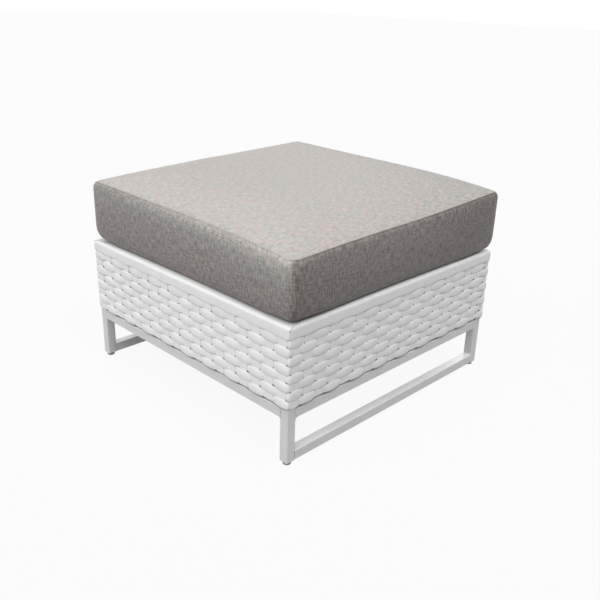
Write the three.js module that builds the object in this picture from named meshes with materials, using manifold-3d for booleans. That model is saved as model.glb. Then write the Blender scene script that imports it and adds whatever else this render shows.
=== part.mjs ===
// Outdoor ottoman footstool: a woven resin body on a square-tube sled frame, with woven seat
// straps under a loose, zipped box cushion. Millimetres, +Z up, the origin on the floor under
// the middle. Front is -Y, right is +X.

import * as THREE from "three";
import { mergeVertices } from "three/addons/utils/BufferGeometryUtils.js";
import Module from "manifold-3d";

const wasm = await Module();
wasm.setup();

// Shared by all pieces
const jointGap = 0.3; // clearance between pieces that lie on each other
const cutOverrun = 5; // how far a cutting block runs past what it cuts

// Welded frame
const frameWidth = 688; // across the outsides of the legs, both ways
const tubeSize = 22.5;
const tubeWall = 1.2;
const tubeCornerRadius = 2;
const legLift = 8; // the legs and runners stand this far off the floor, on the glides
const railUnderside = 108; // floor to the underside of the lower rails
const seatRailTop = 308.5; // floor to the top of the seat rails
const sideWeldRadius = 11; // weld fillets under the left and right lower rails
const frontWeldRadius = 8; // weld fillets under the front and back lower rails
const runnerWeldRadius = 4.5; // weld fillets on top of the runners
const weldBite = 0.6; // how far a weld runs into the tube wall
const weaveRodDiameter = 6;
const weaveRodHeight = 142; // floor to the middle of the rods that hold the foot of the weave

// Levelling glides
const glideDiameter = 18;
const glideEdge = 1.2; // bevel round the foot's lower and upper edge
const glideFloor = 3; // plastic under the end of the stud
const studDiameter = 8;
const studLength = 24;
const studTipBevel = 1;
const studMouldGap = 0.05; // between the stud and the plastic moulded round it
const studThreadGap = 0.15; // between the stud and the insert's thread
const insertHeight = 26;
const insertGap = 0.15; // between the insert and the inside of the leg
const insertCorner = 1.6;

// Woven body
const weaveProud = 5.5; // how far the weave stands out from the legs
const rowCount = 8;
const rowPitch = 19.2;
const rowGroove = 1.8; // depth of the groove between two rows
const mitreGapAngle = THREE.MathUtils.degToRad(2); // half the joint left at each corner
const rimTop = 314.5;
const rimBandHeight = 25.9; // smooth band above the woven rows
const rimReach = 26; // how far the rim strip reaches in over the seat rail
const rimEdgeRadius = 7;
const rimLipBevel = 1.5;

// Seat straps
const strapCount = 6; // each way
const strapWidth = 50;
const strapSideMargin = 36.5; // from the legs to the edge of the outermost straps
const strapThickness = 1.5;
const strapFlatMargin = 1; // level stretch past each side of a crossing strap
const strapEndInset = 2.5; // strap end to the outside of the seat rail
const strapLanding = 2; // a strap lies down on the rail this far before the rim strip

// Cushion
const cushionMargin = 3; // cushion's corners to the outside of the frame
const cushionCornerRadius = 30;
const sideDrawIn = 5; // how far a side pulls in between its corners
const sideBulge = 2.5; // how far the boxing swells between its two seams
const boxingHeight = 128;
const crownHeight = 24;
const lowerEdgeRadius = 10;
const seamEdgeRadius = 12;
const coverThickness = 1.2;
const fillGap = 0.5; // between the fill and the cover

// Zip in the back of the cushion
const zipLength = 440;
const zipHeightAboveBase = 64;
const zipTapeHeight = 24;
const zipTapeThickness = 0.8;
const zipTeethHeight = 4.4;
const zipTeethProud = 1.2; // teeth outside the cover
const zipSlotHeight = 6;
const zipSlotMargin = 2; // slot past each end of the teeth
const zipBandHeight = 40; // level band of the boxing that carries the zip
const fillPocketMargin = 1.5;
const sliderLength = 11;
const sliderHeight = 8;
const sliderThickness = 2;
const sliderEarSize = 2.6; // height of an ear, and its reach past the pin twice over
const sliderEarWidth = 1.3;
const sliderEarBite = 0.5; // how far an ear is let into the slider
const sliderPinDiameter = 1;
const pullWidth = 5;
const pullLength = 26; // pin to tip
const pullThickness = 1.2;
const pullWall = 0.7; // round the eye that hangs on the pin

// Fineness of the curves
const tubeCornerSteps = 2;
const weldSteps = 4;
const roundSteps = 16;
const rodSteps = 12;
const pullSteps = 10;
const weaveCornerSteps = 2;
const rimEdgeSteps = 3;
const cushionFlareSteps = 3;
const cushionCornerSteps = 3;
const mergeDistance = 1e-4;

// Height along a row and how far it stands out of the groove, as shares of each
const rowShares = [
  [0, 0],
  [0.2, 0.8],
  [0.5, 1],
  [0.8, 0.8],
];
// Place of the crown's rings from the seam to the middle, and their height, as shares of each
const crownShares = [
  [0.12, 0.4],
  [0.3, 0.72],
  [0.55, 0.93],
  [0.8, 1],
];
const edgeRoundShare = 0.3; // where the one step of a rounded edge lies

// Sizes that follow from those above
const half = frameWidth / 2;
const tubeHalf = tubeSize / 2;
const legPlace = half - tubeHalf;
const betweenLegs = frameWidth - 2 * tubeSize;
const seatRailUnderside = seatRailTop - tubeSize;
const cornerCentre = half - tubeCornerRadius;
const rimBottom = rimTop - rimBandHeight;
const rimInner = half - rimReach;
const strapLow = seatRailTop + jointGap;
const strapLift = strapThickness + jointGap;
const rimUnderside = strapLow + strapThickness + jointGap;
const cushionBase = rimTop + jointGap;
const strapSpan = betweenLegs - 2 * strapSideMargin - strapWidth;
const strapPitch = strapSpan / (strapCount - 1);
const cushionHalf = half - cushionMargin;
const cushionHeight = boxingHeight + crownHeight;
const zipHeight = cushionBase + zipHeightAboveBase;
const boxingFace = cushionHalf + sideBulge - sideDrawIn;
const tapeFace = boxingFace - coverThickness - jointGap;
const teethFace = boxingFace + zipTeethProud;
const sliderBack = teethFace + jointGap;
const sliderFace = sliderBack + sliderThickness;
const pullHoleRadius = sliderPinDiameter / 2 + jointGap;
const pullEyeRadius = pullHoleRadius + pullWall;
const pinPlace = sliderFace + jointGap + pullEyeRadius;
const sliderPlace = (zipLength - sliderLength) / 2;

const plain = (color, roughness, metalness) =>
  new THREE.MeshStandardMaterial({ color, roughness, metalness });
const powderCoat = plain(0xc9c9c9, 0.45, 0.1);
const resinStrand = plain(0xe6e6e4, 0.5, 0);
const strapResin = plain(0xd8d7d4, 0.55, 0);
const darkPlastic = plain(0x4a4a4b, 0.5, 0);
const zincSteel = plain(0xa8a9ab, 0.35, 0.9);
const taupeFabric = plain(0x9c9691, 0.95, 0);
const fillWhite = plain(0xeeece6, 1, 0);
const zipPlastic = plain(0x8b8580, 0.6, 0);

// A closed geometry as a solid that can be cut and joined.
function solidFrom(geometry) {
  const bare = geometry.index ? geometry.toNonIndexed() : geometry.clone();
  bare.deleteAttribute("normal");
  bare.deleteAttribute("uv");
  const merged = mergeVertices(bare, mergeDistance);
  return new wasm.Manifold(
    new wasm.Mesh({
      numProp: 3,
      vertProperties: merged.attributes.position.array,
      triVerts: new Uint32Array(merged.index.array),
    }),
  );
}

// The surface of such a solid.
function geometryFrom(solid) {
  const mesh = solid.getMesh();
  const geometry = new THREE.BufferGeometry();
  const positions = new THREE.BufferAttribute(mesh.vertProperties, mesh.numProp);
  geometry.setAttribute("position", positions);
  geometry.setIndex(new THREE.BufferAttribute(mesh.triVerts, 1));
  geometry.computeVertexNormals();
  return geometry;
}

function box(width, depth, height, x, y, z) {
  return new THREE.BoxGeometry(width, depth, height).translate(x, y, z);
}

function named(name, geometry, material) {
  const mesh = new THREE.Mesh(geometry, material);
  mesh.name = name;
  return mesh;
}

// An outline drawn in X and Z, carried along Y by a width and centred on it.
function slab(outline, width, curveSegments) {
  const geometry = new THREE.ExtrudeGeometry(outline, {
    depth: width,
    bevelEnabled: false,
    curveSegments,
  });
  return geometry.rotateX(Math.PI / 2).translate(0, width / 2, 0);
}

// An outline drawn in Y and Z, carried along X by a length and centred on it.
function bar(outline, length, curveSegments) {
  const geometry = new THREE.ExtrudeGeometry(outline, {
    depth: length,
    bevelEnabled: false,
    curveSegments,
  });
  return geometry
    .rotateX(Math.PI / 2)
    .rotateZ(Math.PI / 2)
    .translate(-length / 2, 0, 0);
}

// Rings of equal count joined into one closed skin, with flat ends cut from the end contour.
function skin(rings, contour) {
  const count = contour.length;
  const positions = rings.flat(2);
  const indices = [];
  for (let ring = 0; ring + 1 < rings.length; ring++) {
    for (let point = 0; point < count; point++) {
      const next = (point + 1) % count;
      const low = ring * count;
      const high = low + count;
      indices.push(low + point, low + next, high + next);
      indices.push(low + point, high + next, high + point);
    }
  }
  const lastRing = (rings.length - 1) * count;
  for (const [a, b, c] of THREE.ShapeUtils.triangulateShape(contour, [])) {
    indices.push(c, b, a);
    indices.push(lastRing + a, lastRing + b, lastRing + c);
  }
  const geometry = new THREE.BufferGeometry();
  geometry.setAttribute("position", new THREE.Float32BufferAttribute(positions, 3));
  geometry.setIndex(indices);
  geometry.computeVertexNormals();
  return geometry;
}

function roundedSquare(outline, size, radius) {
  const inner = size / 2 - radius;
  outline.absarc(inner, inner, radius, 0, Math.PI / 2);
  outline.absarc(-inner, inner, radius, Math.PI / 2, Math.PI);
  outline.absarc(-inner, -inner, radius, Math.PI, 1.5 * Math.PI);
  outline.absarc(inner, -inner, radius, 1.5 * Math.PI, 2 * Math.PI);
  return outline.closePath();
}

// Square tube of the frame, standing along Z and centred.
function squareTube(length) {
  const section = roundedSquare(new THREE.Shape(), tubeSize, tubeCornerRadius);
  const boreSize = tubeSize - 2 * tubeWall;
  section.holes.push(roundedSquare(new THREE.Path(), boreSize, tubeCornerRadius - tubeWall));
  const geometry = new THREE.ExtrudeGeometry(section, {
    depth: length,
    bevelEnabled: false,
    curveSegments: tubeCornerSteps,
  });
  return geometry.translate(0, 0, -length / 2);
}

// Weld fillet in the corner under one end of a rail: end is 1 or -1.
function weldFillet(railLength, radius, end) {
  const corner = (end * railLength) / 2;
  const toe = corner - end * radius;
  const outline = new THREE.Shape();
  outline.moveTo(corner, weldBite - tubeHalf);
  outline.lineTo(corner, -tubeHalf - radius);
  outline.absarc(
    toe,
    -tubeHalf - radius,
    radius,
    end > 0 ? 0 : Math.PI,
    Math.PI / 2,
    end < 0,
  );
  outline.lineTo(toe, weldBite - tubeHalf);
  outline.closePath();
  return slab(outline, tubeSize - 2 * tubeCornerRadius, weldSteps);
}

// Rail along X between two legs, with a weld fillet under each end.
function weldedRail(radius) {
  const tube = solidFrom(squareTube(betweenLegs).rotateY(Math.PI / 2));
  const leftWeld = solidFrom(weldFillet(betweenLegs, radius, -1));
  const rightWeld = solidFrom(weldFillet(betweenLegs, radius, 1));
  return geometryFrom(tube.add(leftWeld).add(rightWeld));
}

function leg(name) {
  const mesh = named("leg_" + name, squareTube(seatRailUnderside - legLift), powderCoat);
  mesh.position.z = (seatRailUnderside + legLift) / 2;
  return mesh;
}

// Threaded plastic insert in the foot of a leg.
function legInsert(name) {
  const size = tubeSize - 2 * tubeWall - 2 * insertGap;
  const block = new THREE.ExtrudeGeometry(
    roundedSquare(new THREE.Shape(), size, insertCorner),
    { depth: insertHeight, bevelEnabled: false, curveSegments: tubeCornerSteps },
  );
  const radius = studDiameter / 2 + studThreadGap;
  const bore = new THREE.CylinderGeometry(
    radius,
    radius,
    insertHeight + 2 * cutOverrun,
    roundSteps,
  );
  bore.rotateX(Math.PI / 2).translate(0, 0, insertHeight / 2);
  const geometry = geometryFrom(solidFrom(block).subtract(solidFrom(bore)));
  const mesh = named("leg_insert_" + name, geometry, darkPlastic);
  mesh.position.z = legLift;
  return mesh;
}

// Plastic foot of a glide, with the blind hole that is moulded round its stud.
function glideFoot(name) {
  const radius = glideDiameter / 2;
  const top = legLift - jointGap;
  const hole = studDiameter / 2 + studMouldGap;
  const profile = [
    new THREE.Vector2(0, 0),
    new THREE.Vector2(radius - glideEdge, 0),
    new THREE.Vector2(radius, glideEdge),
    new THREE.Vector2(radius, top - glideEdge),
    new THREE.Vector2(radius - glideEdge, top),
    new THREE.Vector2(hole, top),
    new THREE.Vector2(hole, glideFloor),
    new THREE.Vector2(0, glideFloor),
  ];
  return named("glide_" + name, upright(profile), darkPlastic);
}

// Steel stud that screws up into the insert.
function glideStud(name) {
  const radius = studDiameter / 2;
  const foot = glideFloor + studMouldGap;
  const tip = foot + studLength;
  const profile = [
    new THREE.Vector2(0, foot),
    new THREE.Vector2(radius, foot),
    new THREE.Vector2(radius, tip - studTipBevel),
    new THREE.Vector2(radius - studTipBevel, tip),
    new THREE.Vector2(0, tip),
  ];
  return named("glide_stud_" + name, upright(profile), zincSteel);
}

// A profile of radius and height turned round the Z axis.
function upright(profile) {
  return new THREE.LatheGeometry(profile, roundSteps).rotateX(Math.PI / 2);
}

function lowerRail(name, radius) {
  const mesh = named("lower_rail_" + name, weldedRail(radius), powderCoat);
  mesh.position.set(0, -legPlace, railUnderside + tubeHalf);
  return mesh;
}

// Floor runner: the same rail turned over, so that its welds lie on top.
function runner(name) {
  const mesh = named("runner_" + name, weldedRail(runnerWeldRadius), powderCoat);
  mesh.rotation.x = Math.PI;
  mesh.position.set(0, -legPlace, legLift + tubeHalf);
  return mesh;
}

// Seat rail: the front and back ones lie on the legs and stop where the legs' corners round.
function seatRail(name, length) {
  const mesh = named("seat_rail_" + name, squareTube(length), powderCoat);
  mesh.rotation.y = Math.PI / 2;
  mesh.position.set(0, -legPlace, seatRailTop - tubeHalf);
  return mesh;
}

// Bar under the straps, half way between two strap crossings.
function seatBar(name, place) {
  const mesh = named("seat_bar_" + name, squareTube(betweenLegs), powderCoat);
  mesh.rotation.y = Math.PI / 2;
  mesh.position.set(0, place, seatRailTop - tubeHalf);
  return mesh;
}

// Thin rod between two legs that the foot of the weave is wound on.
function weaveRod(name) {
  const radius = weaveRodDiameter / 2;
  const geometry = new THREE.CylinderGeometry(radius, radius, betweenLegs, rodSteps);
  const mesh = named("weave_rod_" + name, geometry, powderCoat);
  mesh.rotation.z = Math.PI / 2;
  mesh.position.set(0, radius - half, weaveRodHeight);
  return mesh;
}

// Section of the woven side: distance out from the legs and height, row above row.
function weaveContour() {
  const foot = rimBottom - jointGap - rowCount * rowPitch;
  const grooveFace = weaveProud - rowGroove;
  const contour = [new THREE.Vector2(jointGap, foot)];
  for (let row = 0; row < rowCount; row++) {
    for (const [heightShare, reliefShare] of rowShares) {
      const face = grooveFace + reliefShare * rowGroove;
      contour.push(new THREE.Vector2(face, foot + (row + heightShare) * rowPitch));
    }
  }
  const head = foot + rowCount * rowPitch;
  contour.push(new THREE.Vector2(grooveFace, head));
  contour.push(new THREE.Vector2(jointGap, head));
  return contour;
}

// Woven side, carried along the front and half way round both corners.
function wovenPanel(name) {
  const contour = weaveContour();
  const rings = [];
  for (const side of [1, -1]) {
    for (let step = 0; step <= weaveCornerSteps; step++) {
      const share = side > 0 ? 1 - step / weaveCornerSteps : step / weaveCornerSteps;
      const angle = side * share * (Math.PI / 4 - mitreGapAngle);
      rings.push(
        contour.map((point) => {
          const radius = tubeCornerRadius + point.x;
          const x = side * cornerCentre + radius * Math.sin(angle);
          const y = -cornerCentre - radius * Math.cos(angle);
          return [x, y, point.y];
        }),
      );
    }
  }
  return named("woven_panel_" + name, skin(rings, contour), resinStrand);
}

// Plan of the front rim strip: mitred ends and rounded outer corners.
function rimPlan() {
  const outer = half + weaveProud;
  const radius = tubeCornerRadius + weaveProud;
  const inset = jointGap / Math.SQRT2;
  const plan = new THREE.Shape();
  plan.moveTo(inset - rimInner, -rimInner);
  plan.absarc(-cornerCentre + inset, -cornerCentre, radius, 1.25 * Math.PI, 1.5 * Math.PI);
  plan.lineTo(cornerCentre - inset, -outer);
  plan.absarc(cornerCentre - inset, -cornerCentre, radius, 1.5 * Math.PI, 1.75 * Math.PI);
  plan.lineTo(rimInner - inset, -rimInner);
  plan.closePath();
  return plan;
}

// Smooth strip over the seat rail, cut to the plan of its mitred corners.
function rimStrip(name) {
  const outer = half + weaveProud;
  const wall = half + jointGap;
  const edge = rimEdgeRadius;
  const section = new THREE.Shape();
  section.moveTo(-rimInner, rimUnderside);
  section.lineTo(-wall, rimUnderside);
  section.lineTo(-wall, rimBottom);
  section.lineTo(rimLipBevel - outer, rimBottom);
  section.lineTo(-outer, rimBottom + rimLipBevel);
  section.absarc(edge - outer, rimTop - edge, edge, Math.PI, Math.PI / 2, true);
  section.lineTo(-rimInner - rimLipBevel, rimTop);
  section.lineTo(-rimInner, rimTop - rimLipBevel);
  section.closePath();
  const strip = solidFrom(bar(section, 2 * outer, rimEdgeSteps));
  const plan = new THREE.ExtrudeGeometry(rimPlan(), {
    depth: rimTop,
    bevelEnabled: false,
    curveSegments: rimEdgeSteps,
  });
  return named("rim_strip_" + name, geometryFrom(strip.intersect(solidFrom(plan))), resinStrand);
}

// Line of a strap in X and Z: it lies on both rails and rises over every other crossing.
function strapLine(firstRises) {
  const flat = strapWidth / 2 + strapFlatMargin;
  const end = half - strapEndInset;
  const landing = rimInner - strapLanding;
  const line = [
    [-end, strapLow],
    [-landing, strapLow],
  ];
  for (let crossing = 0; crossing < strapCount; crossing++) {
    const middle = (crossing - (strapCount - 1) / 2) * strapPitch;
    const rises = (crossing % 2 === 0) === firstRises;
    const height = strapLow + (rises ? strapLift : 0);
    line.push([middle - flat, height], [middle + flat, height]);
  }
  line.push([landing, strapLow], [end, strapLow]);
  return line;
}

function strap(name, place, firstRises) {
  const line = strapLine(firstRises);
  const outline = new THREE.Shape();
  outline.moveTo(...line[0]);
  for (const [x, z] of line.slice(1)) outline.lineTo(x, z);
  for (const [x, z] of line.reverse()) outline.lineTo(x, z + strapThickness);
  outline.closePath();
  const mesh = named(name, slab(outline, strapWidth), strapResin);
  mesh.position.y = place;
  return mesh;
}

// Line of a side: drawn in and straight as far as the zip needs, then flaring out to its corners.
function sideLine(reach, straight, scale) {
  const flat = scale * (zipLength / 2 + zipSlotMargin);
  const left = [];
  const right = [];
  for (let step = 0; step <= cushionFlareSteps; step++) {
    const share = step / cushionFlareSteps;
    const x = flat + share * (straight - flat);
    const y = scale * sideDrawIn * (1 - share ** 2) - reach;
    left.unshift([-x, y]);
    right.push([x, y]);
  }
  right.pop();
  return [...left, ...right];
}

// One closed plan of the cushion: four drawn-in sides joined by round corners.
function cushionPlan(reach) {
  const scale = reach / cushionHalf;
  const radius = cushionCornerRadius * scale;
  const straight = reach - radius;
  const plan = [];
  for (let side = 0; side < 4; side++) {
    const turn = (side * Math.PI) / 2;
    const points = sideLine(reach, straight, scale);
    for (let step = 0; step < cushionCornerSteps; step++) {
      const angle = (step / cushionCornerSteps) * (Math.PI / 2);
      const x = straight + radius * Math.sin(angle);
      points.push([x, -straight - radius * Math.cos(angle)]);
    }
    for (const [x, y] of points) {
      const turned = new THREE.Vector2(x, y).rotateAround(new THREE.Vector2(), turn);
      plan.push(turned);
    }
  }
  return plan;
}

// Rings of the cushion from base to crown: how far in from the side, and the height.
function cushionLevels() {
  const seamReach = cushionHalf - seamEdgeRadius;
  const levels = [
    [lowerEdgeRadius, 0],
    [edgeRoundShare * lowerEdgeRadius, edgeRoundShare * lowerEdgeRadius],
    [0, lowerEdgeRadius],
    [-sideBulge, zipHeightAboveBase - zipBandHeight / 2],
    [-sideBulge, zipHeightAboveBase + zipBandHeight / 2],
    [0, boxingHeight - seamEdgeRadius],
    [edgeRoundShare * seamEdgeRadius, boxingHeight - edgeRoundShare * seamEdgeRadius],
    [seamEdgeRadius, boxingHeight],
  ];
  for (const [inwardShare, riseShare] of crownShares) {
    const inset = seamEdgeRadius + inwardShare * seamReach;
    levels.push([inset, boxingHeight + riseShare * crownHeight]);
  }
  return levels;
}

// Crowned cushion shape, drawn in by a thickness on every side.
function cushionBlock(inward) {
  const squeeze = (cushionHeight - 2 * inward) / cushionHeight;
  const rings = [];
  for (const [inset, height] of cushionLevels()) {
    const z = cushionBase + inward + height * squeeze;
    rings.push(cushionPlan(cushionHalf - inset - inward).map((point) => [point.x, point.y, z]));
  }
  return solidFrom(skin(rings, cushionPlan(cushionHalf)));
}

function cushionCover() {
  const shell = cushionBlock(0).subtract(cushionBlock(coverThickness));
  const slotLength = zipLength + 2 * zipSlotMargin;
  const slotDepth = 2 * (coverThickness + cutOverrun);
  const slot = box(slotLength, slotDepth, zipSlotHeight, 0, boxingFace, zipHeight);
  return named("cushion_cover", geometryFrom(shell.subtract(solidFrom(slot))), taupeFabric);
}

// Fill of the cushion, with a shallow pocket behind the zip tape.
function cushionFill() {
  const block = cushionBlock(coverThickness + fillGap);
  const pocketBack = tapeFace - zipTapeThickness - jointGap;
  const pocket = box(
    zipLength + 2 * fillPocketMargin,
    2 * cutOverrun,
    zipTapeHeight + 2 * fillPocketMargin,
    0,
    pocketBack + cutOverrun,
    zipHeight,
  );
  return named("cushion_fill", geometryFrom(block.subtract(solidFrom(pocket))), fillWhite);
}

// Zip tape behind the cover, with its line of teeth standing out through the slot.
function zipTape() {
  const tape = zipTapeHeight / 2;
  const teeth = zipTeethHeight / 2;
  const back = tapeFace - zipTapeThickness;
  const section = new THREE.Shape();
  section.moveTo(back, -tape);
  section.lineTo(tapeFace, -tape);
  section.lineTo(tapeFace, -teeth);
  section.lineTo(teethFace, -teeth);
  section.lineTo(teethFace, teeth);
  section.lineTo(tapeFace, teeth);
  section.lineTo(tapeFace, tape);
  section.lineTo(back, tape);
  section.closePath();
  const mesh = named("zip_tape", bar(section, zipLength), zipPlastic);
  mesh.position.z = zipHeight;
  return mesh;
}

// Slider of the zip: a body in front of the teeth, two ears and the pin between them.
function zipSlider() {
  const earMiddle = pullWidth / 2 + jointGap + sliderEarWidth / 2;
  const earStart = sliderFace - sliderEarBite;
  const earDepth = pinPlace + sliderEarSize / 2 - earStart;
  const bodyMiddle = sliderBack + sliderThickness / 2;
  const radius = sliderPinDiameter / 2;
  const pin = new THREE.CylinderGeometry(radius, radius, 2 * earMiddle, pullSteps)
    .rotateZ(Math.PI / 2)
    .translate(0, pinPlace, 0);
  let solid = solidFrom(box(sliderLength, sliderThickness, sliderHeight, 0, bodyMiddle, 0));
  for (const x of [-earMiddle, earMiddle]) {
    const ear = box(sliderEarWidth, earDepth, sliderEarSize, x, earStart + earDepth / 2, 0);
    solid = solid.add(solidFrom(ear));
  }
  const mesh = named("zip_slider", geometryFrom(solid.add(solidFrom(pin))), zincSteel);
  mesh.position.set(sliderPlace, 0, zipHeight);
  return mesh;
}

// Pull tab: a plate with a round tip, hanging by its eye from the slider's pin.
function zipPull() {
  const side = pullWidth / 2;
  const outline = new THREE.Shape();
  outline.moveTo(side, 0);
  outline.lineTo(-side, 0);
  outline.absarc(0, side - pullLength, side, Math.PI, 2 * Math.PI);
  outline.closePath();
  const plate = solidFrom(slab(outline, pullThickness, pullSteps));
  const eye = new THREE.CylinderGeometry(pullEyeRadius, pullEyeRadius, pullWidth, pullSteps);
  const overLength = pullWidth + 2 * cutOverrun;
  const hole = new THREE.CylinderGeometry(pullHoleRadius, pullHoleRadius, overLength, pullSteps);
  const solid = plate
    .add(solidFrom(eye.rotateZ(Math.PI / 2)))
    .subtract(solidFrom(hole.rotateZ(Math.PI / 2)));
  const mesh = named("zip_pull", geometryFrom(solid), zincSteel);
  mesh.position.set(sliderPlace, pinPlace, zipHeight);
  return mesh;
}

// The pieces at one corner: a leg, and the glide that screws into its foot.
function corner(name, x, y) {
  const group = new THREE.Group();
  group.add(leg(name), legInsert(name), glideFoot(name), glideStud(name));
  group.position.set(x, y, 0);
  return group;
}

// The pieces along one side, built at the front and turned to their place.
function side(name, quarterTurns) {
  const group = new THREE.Group();
  const alongX = quarterTurns % 2 === 0;
  group.add(
    lowerRail(name, alongX ? frontWeldRadius : sideWeldRadius),
    seatRail(name, alongX ? 2 * cornerCentre : betweenLegs),
    weaveRod(name),
    wovenPanel(name),
    rimStrip(name),
  );
  if (!alongX) group.add(runner(name));
  group.rotation.z = (quarterTurns * Math.PI) / 2;
  return group;
}

// Two bars and the two layers of straps that run over and under each other.
function seat() {
  const group = new THREE.Group();
  group.add(seatBar("front", -strapPitch), seatBar("back", strapPitch));
  const turned = new THREE.Group();
  turned.rotation.z = Math.PI / 2;
  for (let index = 0; index < strapCount; index++) {
    const place = (index - (strapCount - 1) / 2) * strapPitch;
    const even = index % 2 === 0;
    group.add(strap("seat_strap_across_" + (index + 1), place, even));
    turned.add(strap("seat_strap_along_" + (index + 1), -place, !even));
  }
  group.add(turned);
  return group;
}

function cushion() {
  const group = new THREE.Group();
  group.add(cushionCover(), cushionFill(), zipTape(), zipSlider(), zipPull());
  return group;
}

const ottoman = new THREE.Group();
for (const [index, name] of ["front", "right", "back", "left"].entries()) {
  ottoman.add(side(name, index));
}
for (const [depthName, y] of [["front", -legPlace], ["back", legPlace]]) {
  for (const [sideName, x] of [["left", -legPlace], ["right", legPlace]]) {
    ottoman.add(corner(depthName + "_" + sideName, x, y));
  }
}
ottoman.add(seat(), cushion());

export default ottoman;
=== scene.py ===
"""Outdoor ottoman footstool: a woven resin body on a sled frame, under a zipped box cushion.

Lengths are metres, +Z is up, the front is -Y and the right is +X.
"""

import logging
from collections.abc import Callable, Sequence
from dataclasses import dataclass, field
from enum import Enum, IntEnum

import bpy
import numpy as np
from mathutils import Matrix, Vector


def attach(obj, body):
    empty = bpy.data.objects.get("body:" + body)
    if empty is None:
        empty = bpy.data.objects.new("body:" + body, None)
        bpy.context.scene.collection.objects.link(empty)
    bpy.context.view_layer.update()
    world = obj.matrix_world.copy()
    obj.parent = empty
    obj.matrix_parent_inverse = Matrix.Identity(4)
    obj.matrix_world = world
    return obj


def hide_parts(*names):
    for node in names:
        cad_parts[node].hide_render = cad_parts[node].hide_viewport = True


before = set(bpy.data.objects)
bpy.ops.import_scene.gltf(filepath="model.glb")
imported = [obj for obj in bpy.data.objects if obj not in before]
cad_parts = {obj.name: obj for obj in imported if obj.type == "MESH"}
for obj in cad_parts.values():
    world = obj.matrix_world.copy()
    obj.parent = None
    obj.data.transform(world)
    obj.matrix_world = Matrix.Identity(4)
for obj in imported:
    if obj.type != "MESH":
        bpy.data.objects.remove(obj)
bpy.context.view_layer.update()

log = logging.getLogger("ottoman")

MM = 0.001
SHARP_EDGE = np.radians(42.0)

Array = np.ndarray
Pair = tuple[float, float]
Triple = tuple[float, float, float]
Values = tuple[float, ...]
Colour = Triple
Material = bpy.types.Material
Node = bpy.types.Node
Socket = bpy.types.NodeSocket


class Side(IntEnum):
    """Sides of the footstool, as quarter turns from the front."""

    FRONT = 0
    RIGHT = 1
    BACK = 2
    LEFT = 3


class Body(Enum):
    """Bodies that the new pieces ride on, apart from the glides, which have their own."""

    FRAME = "frame"
    CUSHION = "cushion"


class Slot(Enum):
    """Material slots of the record that the new pieces take."""

    WEAVE = "weave"
    STRAP = "strap"
    DARK_PLASTIC = "dark_plastic"
    FABRIC = "fabric"
    FILL = "fill"
    ZIP = "zip"


# Surfaces


def grid_faces(
    rows: int, columns: int, wrap_rows: bool = False, wrap_columns: bool = False
) -> Array:
    """Faces of a grid: each joins a point, its neighbour along the row, and the two above.

    Args:
        rows: Rows of points.
        columns: Points in a row.
        wrap_rows: Joins the last row to the first.
        wrap_columns: Joins the end of each row to its start.

    Returns:
        Point numbers, four to a face.
    """
    row = np.arange(rows if wrap_rows else rows - 1)
    column = np.arange(columns if wrap_columns else columns - 1)
    low, left = np.meshgrid(row, column, indexing="ij")
    high, right = (low + 1) % rows, (left + 1) % columns
    corners = [(low, left), (low, right), (high, right), (high, left)]
    return np.stack([a * columns + b for a, b in corners], -1).reshape(-1, 4)


def tube_faces(sections: int, ring: int) -> Array:
    """Faces of a profile carried along a path, with both ends closed across the profile.

    Args:
        sections: Sections along the path.
        ring: Points of a section, an even number whose second half runs back along the first.

    Returns:
        Point numbers, four to a face: the walls, then the near end and the far end.
    """
    first = np.arange(ring // 2 - 1)
    near = np.stack([first, ring - 1 - first, ring - 2 - first, first + 1], -1)
    far = near[:, ::-1] + (sections - 1) * ring
    return np.concatenate([grid_faces(sections, ring, wrap_columns=True), near, far])


def lengths(line: Array) -> Array:
    """Length along a line up to each of its points: the steps' lengths summed from its start."""
    return np.concatenate([[0], np.cumsum(np.linalg.norm(np.diff(line, axis=0), axis=1))])


def unit_grid(cells: int) -> tuple[Array, Array]:
    """Points of a grid over the unit square.

    Args:
        cells: Cells each way.

    Returns:
        Arrays of p, which runs along the rows, and q, which runs up them, from -1 to 1.
    """
    step = np.linspace(-1, 1, cells + 1)
    q, p = np.meshgrid(step, step, indexing="ij")
    return p, q


def placed(name: str, data: bpy.types.ID) -> bpy.types.Object:
    """Links some data into the scene.

    Args:
        name: Name of the object.
        data: Its mesh, light or camera.

    Returns:
        The object, at the origin.
    """
    thing = bpy.data.objects.new(name, data)
    bpy.context.scene.collection.objects.link(thing)
    return thing


def coat(node: bpy.types.Object, finish: Material) -> None:
    """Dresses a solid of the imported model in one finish."""
    node.data.materials.clear()
    node.data.materials.append(finish)


def turned(points: Array, side: int) -> Array:
    """Points turned about Z by whole quarter turns, as x cos - y sin and x sin + y cos.

    Args:
        points: Any array of places whose last axis is x, y, z.
        side: Number of quarter turns.

    Returns:
        Array of the same shape.
    """
    cosine = (1.0, 0.0, -1.0, 0.0)[side % 4]
    sine = (0.0, 1.0, 0.0, -1.0)[side % 4]
    x, y, z = points[..., 0], points[..., 1], points[..., 2]
    return np.stack([x * cosine - y * sine, x * sine + y * cosine, z], -1)


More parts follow.
